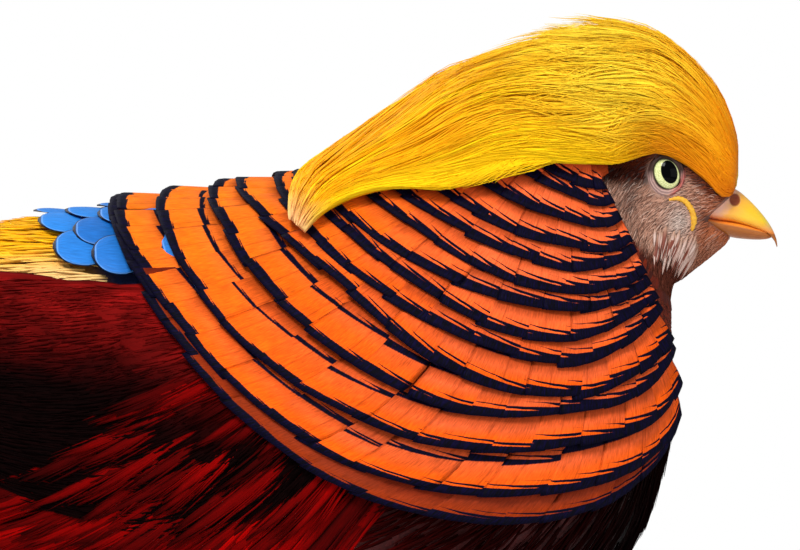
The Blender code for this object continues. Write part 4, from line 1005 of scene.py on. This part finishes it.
def grow_breast():
    """Loose hair-like red feathers of breast, flanks and belly; broad bright locks with strands along them
    fan back over the wing's lower edge from under the cape."""
    finish = strand_finish("loose_red_feathers", 0.8, 0.2, 0.0, Specular_IOR_Level=0.03)

    def deep(s, a, p):
        """Body colour darkened to a third as painted shade, red towards some tips, less red towards the belly
        and near black before the flank's locks under the cape, both painted shade.
        """
        luck = draw.random(len(p))[:, None]
        tip = np.linspace(0, 1, p.shape[1])[None, :]
        # painted shade: near black under the cape's edge before the flank's locks
        front = blend(13.5 - s, 0, 1.5) * blend(np.abs(a), 84, 100)
        # painted shade: less red towards the belly
        belly = 1 - 0.8 * blend(np.abs(a), 126, 168)
        shown = blend(luck, 0.45, 1.0) * tip * belly * (1 - 0.92 * front)
        return mixed(coat_tint(s, a, p) * 0.3, hue(128, 2, 0), shown) * (1 - 0.6 * front)[..., None]

    broad = lock_finish()
    run = np.linspace(0, 1, 7)
    for side, word in SIDES:
        coat_batch(f"breast_feathers_{word}", 4100, (7.8, 19.8), (side * 62, side * 181), (13, 24), 0.54,
                   (0.6, 2.0), finish, "breast", deep, rows=5, spread=1.6)
        locks, each = 300, 11
        s0, a0 = draw.uniform(11.3, 16.0, locks), draw.uniform(66, 130, locks)
        chosen = (a0 > 70 + 8.5 * (s0 - 12.8)) & (a0 < 102 + 12 * (s0 - 11.9))
        s0, a0 = s0[chosen], a0[chosen]
        locks = len(s0)
        long, top = draw.uniform(1.5, 2.6, locks), draw.uniform(2.6, 4.4, locks)
        fall = (5.0 + 0.26 * (a0 - 70) + draw.normal(0, 0.6, locks)) * long
        bright = np.clip(draw.normal(0.5, 0.24, locks), 0.15, 1)
        bright = bright * blend(17.2 - s0, 0, 2.5) * (1 - 0.7 * blend(a0, 98, 118))

        def paint(share, shine):
            """Near black at both ends of a feather, and red between by share and shine."""
            body = (0.2 + 0.8 * np.sin(np.pi * run**0.9) ** 0.8)[None, :] * share[:, None] * shine
            return mixed(hue(12, 0, 0), hue(166, 1, 0), np.clip(body, 0, 1))

        stations, angles = s0[:, None] + long[:, None] * run, a0[:, None] + fall[:, None] * run**1.25
        heights = 0.2 + (top - 0.2)[:, None] * run**0.6 - 5.5 * cape_cover(stations, angles)
        spine, normal = skin_vanes(stations, side * angles, heights)
        width = draw.uniform(1.5, 2.5, locks)[:, None] * taper(run, 0.16, 0.82, 0.8)
        lofts(f"flank_locks_{word}", vane_rings(spine, normal, width, 0.5, 0.5, 8), broad, "breast",
              paint(bright, 1.0), 3.0, fit_unit(unwrap(stations[:, 0], side * angles[:, 0])), 0.02)
        pick = np.repeat(np.arange(locks), each)
        n = len(pick)
        loose = 1 - 0.6 * run[None, :]
        aside = np.clip(draw.normal(0, 0.8, n), -1.6, 1.6)[:, None]
        stations = stations[pick] + aside * 0.04 * loose + draw.uniform(-0.3, 0.12, n)[:, None] * run
        angles = angles[pick] + aside * 1.9 * loose
        heights = heights[pick] + 0.35 * run + draw.normal(0.1, 0.1, n)[:, None]
        spine, normal = skin_vanes(stations, side * angles, heights)
        width = 0.42 * draw.uniform(0.7, 1.3, n)[:, None] * taper(run)
        tint = paint(bright[pick], draw.uniform(0.75, 1.1, n)[:, None])
        strands(f"flank_feathers_{word}", spine, normal, width, finish, "breast", tint,
                fit_unit(unwrap(stations[:, 0], side * angles[:, 0])))


def grow_rump():
    """Golden silk of back and rump, paler at its lower edge."""
    finish = strand_finish("golden_rump", 0.6, 0.05, 0.0, Specular_IOR_Level=0.08)

    def gold(s, a, p):
        """Gold by chance deeper or lighter, paler low on the side."""
        luck = draw.random(len(p))[:, None] + 0 * s
        colour = mixed(hue(246, 172, 8), hue(255, 196, 20), blend(luck, 0.3, 1.0))
        return mixed(colour, hue(246, 206, 140), blend(np.abs(a), 26, 42) * 0.85)

    coat_batch("rump_feathers", 3700, (13.4, 20.2), (-61, 61), (9, 16), 0.56, (1.2, 2.1), finish, "rump",
               gold, rows=5, spread=1.0, shine=(0.97, 1.03))


def grow_mantle():
    """Large blue scale feathers of the upper back behind the cape."""
    finish = scale_finish("blue_scales", hue(3, 6, 30), hue(120, 170, 235), 0.5)
    rows = {11.6: (7, 21, 35, 48), 12.05: (0, 14, 28, 42), 12.5: (7, 21, 36), 12.9: (0, 14, 29)}
    spots = [(row, turn) for row, turns in rows.items() for one in turns
             for turn in ((one, -one) if one else (0,))]
    s, a = np.array(spots, float).T
    s = s + draw.normal(0, 0.04, len(s))
    a = a + draw.normal(0, 0.8, len(s))
    tint = mixed(hue(16, 92, 172), hue(44, 140, 228), draw.random(len(s)))
    scales("mantle_feathers", s, a, draw.uniform(19, 21, len(s)), 8.4, 3.2, finish, "rump", tint, rows=14,
           camber=1.1, blunt=0.6)


# ---- wings and tail --------------------------------------------------------------------------

def grow_wings():
    """Folded wings: soft near-black maroon coverts, the rearmost tier dark blue, and brown flight feathers,
    all under a bloom of fine strands in the coverts' colours."""
    soft = strand_finish("dark_wing_feathers", 0.8, 0.15, 0.0, Specular_IOR_Level=0.03)
    # each tier's first root along the wing, length, number down the wing and lift of the tips
    tiers = [(0.36, 0.55, 10, 2.4), (0.28, 0.46, 10, 2.5), (0.16, 0.42, 11, 2.6), (0.02, 0.38, 11, 2.7),
             (-0.10, 0.34, 11, 2.8)]
    run = np.linspace(0, 1, 8)
    share = rounded(run, 0.5, 0.503, 0.003) * np.clip(0.5 + run, 0, 1)
    for side, word in SIDES:
        all_rings, tints, roots = [], [], []
        for n, (start, length, count, lift) in enumerate(tiers):
            down = (np.arange(count) + 0.3 + 0.4 * (n % 2)) / count
            begin = start - 0.08 * down + draw.normal(0, 0.02, count)
            along = begin[:, None] + length * run * (1 - 0.12 * down[:, None])
            fall = down[:, None] * (1 - 0.25 * run) + 0.06 * run
            station, angle = wing_place(along, fall)
            rise = (lift - 0.6 + draw.normal(0, 0.2, count)[:, None]) * run**0.8
            heights = 0.6 + rise - UNDER_CAPE * cape_cover(station, angle)
            spine, normal = skin_vanes(station, side * angle, heights)
            width = draw.uniform(5.6, 7.4, count)[:, None] * share
            all_rings.append(vane_rings(spine, normal, width, 0.5, 0.4, 10))
            tints.append(mixed(wing_tint(along, fall), hue(10, 12, 40), (n == 0) * 0.7))
            roots.append(np.stack([down, np.full(count, (n + 0.5) / len(tiers))], -1))
        count = 8  # flight feathers
        k = np.arange(count) / (count - 1)
        along = 0.35 + (0.85 - 0.32 * k)[:, None] * run
        station, angle = wing_place(along, 0.25 + 0.6 * k[:, None] * (1 - 0.2 * run))
        spine, normal = skin_vanes(station, side * angle, 1.2 + 1.0 * run + 0.12 * k[:, None])
        all_rings.append(vane_rings(spine, normal, 4.6 * share[None, :] + 0 * k[:, None], 0.5, 0.5, 10))
        tints.append(np.tile(hue(70, 40, 24), (count, 8, 1)))
        roots.append(np.stack([k, np.full(count, 0.96)], -1))
        lofts(f"wing_feathers_{word}", np.concatenate(all_rings), soft, "wing", np.concatenate(tints),
              root=fit_unit(np.concatenate(roots)), cell=0.06, stands_for=(f"wing_{word}",))
        # the bloom: fine strands over the coverts
        n = 3700
        a0, d0 = draw.uniform(-0.12, 0.62, n), draw.uniform(-0.02, 1.0, n)
        short = np.linspace(0, 1, 5)
        along = a0[:, None] + draw.uniform(0.08, 0.17, n)[:, None] * short
        fall = d0[:, None] + draw.normal(0, 0.012, n)[:, None] * short + 0.05 * short
        station, angle = wing_place(along, fall)
        rise = 1.9 + 1.5 * short**0.8 + draw.uniform(-0.2, 0.3, n)[:, None]
        heights = rise - UNDER_CAPE * cape_cover(station, angle)
        spine, normal = skin_vanes(station, side * angle, heights)
        width = 0.6 * draw.uniform(0.7, 1.3, n)[:, None] * np.array([0.5, 1.0, 1.0, 0.7, 0.12])
        tint = wing_tint(along, fall) * draw.uniform(0.7, 1.25, n)[:, None, None]
        strands(f"wing_bloom_{word}", spine, normal, width, soft, "wing", tint,
                fit_unit(np.stack([a0, d0], -1)))


def tail_vane(reach, middle, half, layer):
    """Rings of one flat feather on the tail's roof."""
    x, up = circle(8)
    points = tail_place(reach[:, None], middle[:, None] + half[:, None] * x, layer)
    points[..., 2] += up * 0.35 * MM
    return points[:, ::-1]


def grow_tail():
    """Ranks of paired tail feathers under one roof, and narrow orange-red coverts beside its root."""
    run = np.linspace(0, 1, 26)

    def side_by_side(count, wide):
        """Places of feathers side by side on their map."""
        root = np.stack([(np.arange(count) + 0.5) / count, np.full(count, 0.5)], -1)
        return {"root": root, "cell": (wide, MAP_SPAN)}

    finish, coverts = tail_finish(), strand_finish("orange_red_coverts", 0.45, 0.3, 0.2)
    rings, tints, reaches = [], [], []
    share = np.minimum(0.32 + 3.0 * run, 1.0) * (1 - 0.94 * np.clip((run - 0.4) / 0.6, 0, 1) ** 1.6)
    sizes = ((TAIL_LONG, 19), (560, 16), (462, 15), (372, 14), (290, 13), (218, 12))
    for rank, (length, half) in enumerate(sizes):
        for side in (-1, 1):
            reach = length * run
            middle = side * (0.5 + 0.8 * rank) + side * (0.003 + 0.016 * rank) * reach
            rings.append(tail_vane(reach, middle, half * share, 2 * rank + (side < 0) - 3))
            tints.append(mixed(hue(164, 112, 60), hue(140, 84, 44), rank / 5))
            reaches.append(length / 12)
    lofts("tail_feathers", rings, finish, "tail", np.array(tints), np.array(reaches), stands_for=("tail",),
          **side_by_side(12, 0.07))
    rings, tints = [], []
    share = np.minimum(0.4 + 3.0 * run, 1.0) * (1 - 0.95 * np.clip((run - 0.3) / 0.7, 0, 1) ** 1.5)
    for rank, length in enumerate((250, 195, 145, 175, 220)):
        for side in (-1, 1):
            reach = length * run - 6
            middle = side * (7.5 + 1.2 * rank + (0.05 + 0.03 * min(rank, 2)) * reach)
            rings.append(tail_vane(reach, middle, 5.5 * share, -4 - 0.8 * rank))
            tints.append(mixed(hue(206, 58, 10), hue(190, 34, 10), draw.random()))
    lofts("tail_coverts", rings, coverts, "tail", np.array(tints), 6.0, **side_by_side(10, 0.08))


# ---- eyes and bill ---------------------------------------------------------------------------

def grow_eyes():
    """Eyeballs, and lids as rings of skin that run from the ball's surface out to the cheek."""
    finish, lid = eye_finish(), lid_finish()
    for side, word in SIDES:
        ring = np.linspace(0, math.pi, 36)[1:-1, None]
        x, z = circle(48)
        points = np.stack([np.sin(ring) * x, -np.cos(ring) + 0 * x, -np.sin(ring) * z], -1) * EYE_RADIUS * MM
        points = points + np.array([SHIFT, side * EYE_CENTRE[1] * MM, EYE_CENTRE[2] * MM])
        lofts(f"eyeball_{word}", points[None], finish, "eye", stands_for=(f"eye_{word}",))
        turn = np.linspace(0, 2 * np.pi, 72, endpoint=False)[:, None]
        section = (2 * np.pi * np.arange(14) / 14)[None, :]
        q = 0.5 - 0.5 * np.cos(section)
        corner = 0.55 * np.clip(np.cos(turn + 0.85), 0, 1) ** 6
        x = (3.62 + corner + (1.75 - corner) * q) * np.cos(turn) - 0.16 * 4.3 * np.sin(turn) * (1 - q) * 0.8
        z = (4.28 + (1.95 - 0.5 * np.sin(turn).clip(0, 1)) * q) * np.sin(turn)
        ball = EYE_CENTRE[1] + np.sqrt(np.clip(EYE_RADIUS**2 - x**2 - z**2, 0, None))
        cheek = np.abs(skin_side(x, z + EYE_CENTRE[2], 1)[..., 1]) / MM
        swell = np.sin(np.pi * q)
        fold = 0.38 * np.sin(section) * (0.6 + 0.4 * swell)
        y = (ball + 0.12) * (1 - q) + (cheek - 0.25) * q + fold + 0.55 * swell
        points = np.stack([x * MM + SHIFT, side * y * MM, (z + EYE_CENTRE[2]) * MM], -1)
        torus(f"eyelid_{word}", points if side == 1 else points[:, ::-1], lid, "face")


def grow_wattle():
    """Yellow fold of skin hooked under each eye, a soft ridge along a curve on the cheek."""
    f = Finish("yellow_wattle", 0.5, Subsurface_Weight=0.1, Specular_IOR_Level=0.3)
    grain = f.noise(f.place(), 1300.0, 4.0)
    finish = f.finish(f.mix(grain, hue(214, 128, 24), hue(250, 196, 60)), bump=grain, strength=0.6)
    # the ridge's path in side view: x, z and half width
    path = spline([(0.6, 227.8, 0.3), (2.9, 228.2, 0.6), (4.8, 227.6, 0.75), (6.3, 226.0, 0.8),
                   (7.2, 224.2, 0.85), (7.6, 221.9, 0.9), (7.1, 219.2, 0.4)], np.linspace(0, 6, 40))
    for side, word in SIDES:
        spine = skin_side(path[:, 0], path[:, 1], side)
        spine[:, 1] += side * 0.15 * MM
        normal = np.broadcast_to((0.0, side, 0.0), spine.shape)
        bumpy = 1 + 0.12 * np.sin(np.arange(40) * 1.9)
        half = path[None, :, 2]
        rings = vane_rings(spine[None], normal[None], half * bumpy, 0.0, 1.5 * half, 12)
        lofts(f"wattle_{word}", rings, finish, "face")


def half_bill(rows, bend):
    """Rings of one half of the bill, slanted: top x and z, bottom x and z, half width at the top and bottom.
    The section is a rounded wedge, flat on the side of the mouth."""
    row = spline(rows, np.linspace(0, len(rows) - 1, 44))
    wide, up = circle(40)
    up = up * bend
    v = np.where(up >= 0, np.abs(up), -np.abs(up) ** 0.45) * bend
    top, bottom = row[:, None, 0:2], row[:, None, 2:4]
    middle = (top + bottom) / 2 + (top - bottom) / 2 * v[None, :, None]
    half = row[:, 5:6] + (row[:, 4:5] - row[:, 5:6]) * (v[None] + 1) / 2
    y = half * np.sign(wide) * np.abs(wide) ** 0.85
    return np.stack([middle[..., 0] * MM + SHIFT, y * MM, middle[..., 1] * MM], -1)


def grow_bill():
    """Upper and lower horn of the bill."""
    finish = horn_finish()
    for word, rows, bend in (("upper", UPPER_BILL, 1), ("lower", LOWER_BILL, -1)):
        rings = half_bill(rows, bend)
        lofts(f"bill_{word}_horn", rings[None, :, ::-1], finish, "bill", stands_for=(f"bill_{word}",))


# ---- legs ------------------------------------------------------------------------------------

def dress_legs():
    """Legs, feet and claws keep their solids, with scaled skin and horn."""
    skin, horn = leg_finish(), horn_claw()
    for name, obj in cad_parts.items():
        if name.startswith(("shank", "foot", "claw")):
            obj.data.materials.clear()
            obj.data.materials.append(horn if name.startswith("claw") else skin)


def grow_thighs():
    """Feathered thighs: a soft cone of red feathers on each leg."""
    f = strand_finish("thigh_feathers", 0.55, 0.4, 0.2)
    for side, word in SIDES:
        hip, hock = leg_point(-92, 25, 128, side), leg_point(-122, 26, 80, side)

        def cone(at, turn, sunk):
            """The axis and the surface of the thigh at a share down it and a turn round it."""
            down, wide = (-0.1, 0, 0.25, 0.5, 0.8, 1.0, 1.2), (20, 22, 21, 17, 10.5, 6.4, 4.6)
            radius = np.interp(at, down, wide) - sunk
            ahead = np.cos(turn) * radius
            centre = hip + (hock - hip) * at[..., None]
            return centre, centre + np.stack([ahead, np.sin(turn) * radius * 0.8, 0.35 * ahead], -1) * MM

        n = 1200
        t = draw.uniform(-0.1, 0.82, n)
        turn = draw.uniform(0, 2 * np.pi, n)
        run = np.linspace(0, 1, 5)
        at = t[:, None] + 0.3 * run
        centre, points = cone(at, turn[:, None], 1.6 * (1 - run))
        points[..., 1] = np.clip(points[..., 1], -WIDEST, WIDEST)
        rings = vane_rings(points, unit(points - centre), 0.55 * taper(run)[None] + 0 * at, 0.0, 0.6, 3)
        tint = mixed(hue(112, 22, 10), hue(160, 60, 20), draw.random(n))
        root = fit_unit(np.stack([turn / 6.3, t], -1))
        lofts(f"thigh_feathers_{word}", rings, f, "breast", tint, root=root)
        points = cone(np.linspace(-0.1, 1.03, 14)[:, None], 2 * np.pi * np.arange(24) / 24, 2.0)[1]
        lofts(f"thigh_core_{word}", points[None], f, "breast", np.array([hue(90, 16, 10)]))


# ---- floor, light and camera -----------------------------------------------------------------

def studio():
    """White room, soft key from the front and above, pale round floor, and a long lens at the photo's
    angle."""
    world = bpy.data.worlds.new("soft_room")
    bpy.context.scene.world = world
    world.use_nodes = True
    tree = world.node_tree
    room = tree.nodes["Background"]
    seen = tree.nodes.new("ShaderNodeBackground")
    for sky, colour, power in ((room, (0.95, 0.97, 1.0, 1), 0.5), (seen, (1, 1, 1, 1), 1.0)):
        sky.inputs[0].default_value, sky.inputs[1].default_value = colour, power
    choose, path = tree.nodes.new("ShaderNodeMixShader"), tree.nodes.new("ShaderNodeLightPath")
    for at, out in enumerate((path.outputs["Is Camera Ray"], room.outputs[0], seen.outputs[0])):
        tree.links.new(out, choose.inputs[at])
    tree.links.new(choose.outputs[0], tree.nodes["World Output"].inputs[0])
    bpy.context.scene.view_settings.view_transform = "Standard"
    turn = np.linspace(0, 2 * np.pi, 96, endpoint=False)
    mesh = bpy.data.meshes.new("floor")
    rim = np.stack([0.95 * np.cos(turn), 0.95 * np.sin(turn), 0 * turn], -1)
    mesh.from_pydata(rim.tolist(), [], [list(range(96))])
    floor = bpy.data.objects.new("floor", mesh)
    bpy.context.scene.collection.objects.link(floor)
    pale = Finish("pale_floor", 0.9)
    speck = pale.noise(pale.place(), 60.0, 3.0)
    mesh.materials.append(pale.finish(pale.mix(speck, (0.80, 0.80, 0.79), (0.86, 0.86, 0.85))))
    lamps = (("key", (0.0, -1.2, 1.5), 0.55, 30.0), ("fill", (1.5, -1.4, 0.4), 1.2, 7.0),
             ("rim", (-0.8, 1.2, 1.3), 0.9, 14.0))
    for name, spot, size, power in lamps:
        lamp = bpy.data.lights.new(name, "AREA")
        lamp.size, lamp.energy = size, power
        obj = bpy.data.objects.new(name, lamp)
        bpy.context.scene.collection.objects.link(obj)
        obj.location = spot
        obj.rotation_euler = (Vector((0.3, 0, 0.2)) - Vector(spot)).to_track_quat("-Z", "Y").to_euler()
    lens = bpy.data.cameras.new("camera")
    lens.sensor_width, lens.lens = 36.0, 36.0 * VIEW_FAR / VIEW_WIDE
    camera = bpy.data.objects.new("camera", lens)
    bpy.context.scene.collection.objects.link(camera)
    camera.location = (SHIFT - 74.2 * MM, -VIEW_FAR, 206.7 * MM + VIEW_RISE)
    camera.rotation_euler = (math.radians(90) - math.atan2(VIEW_RISE, VIEW_FAR), 0, 0)
    bpy.context.scene.camera = camera


grow_skin()
grow_cape()
grow_crest()
grow_face()
grow_breast()
grow_rump()
grow_mantle()
grow_wings()
grow_tail()
grow_eyes()
grow_wattle()
grow_bill()
dress_legs()
grow_thighs()
studio()
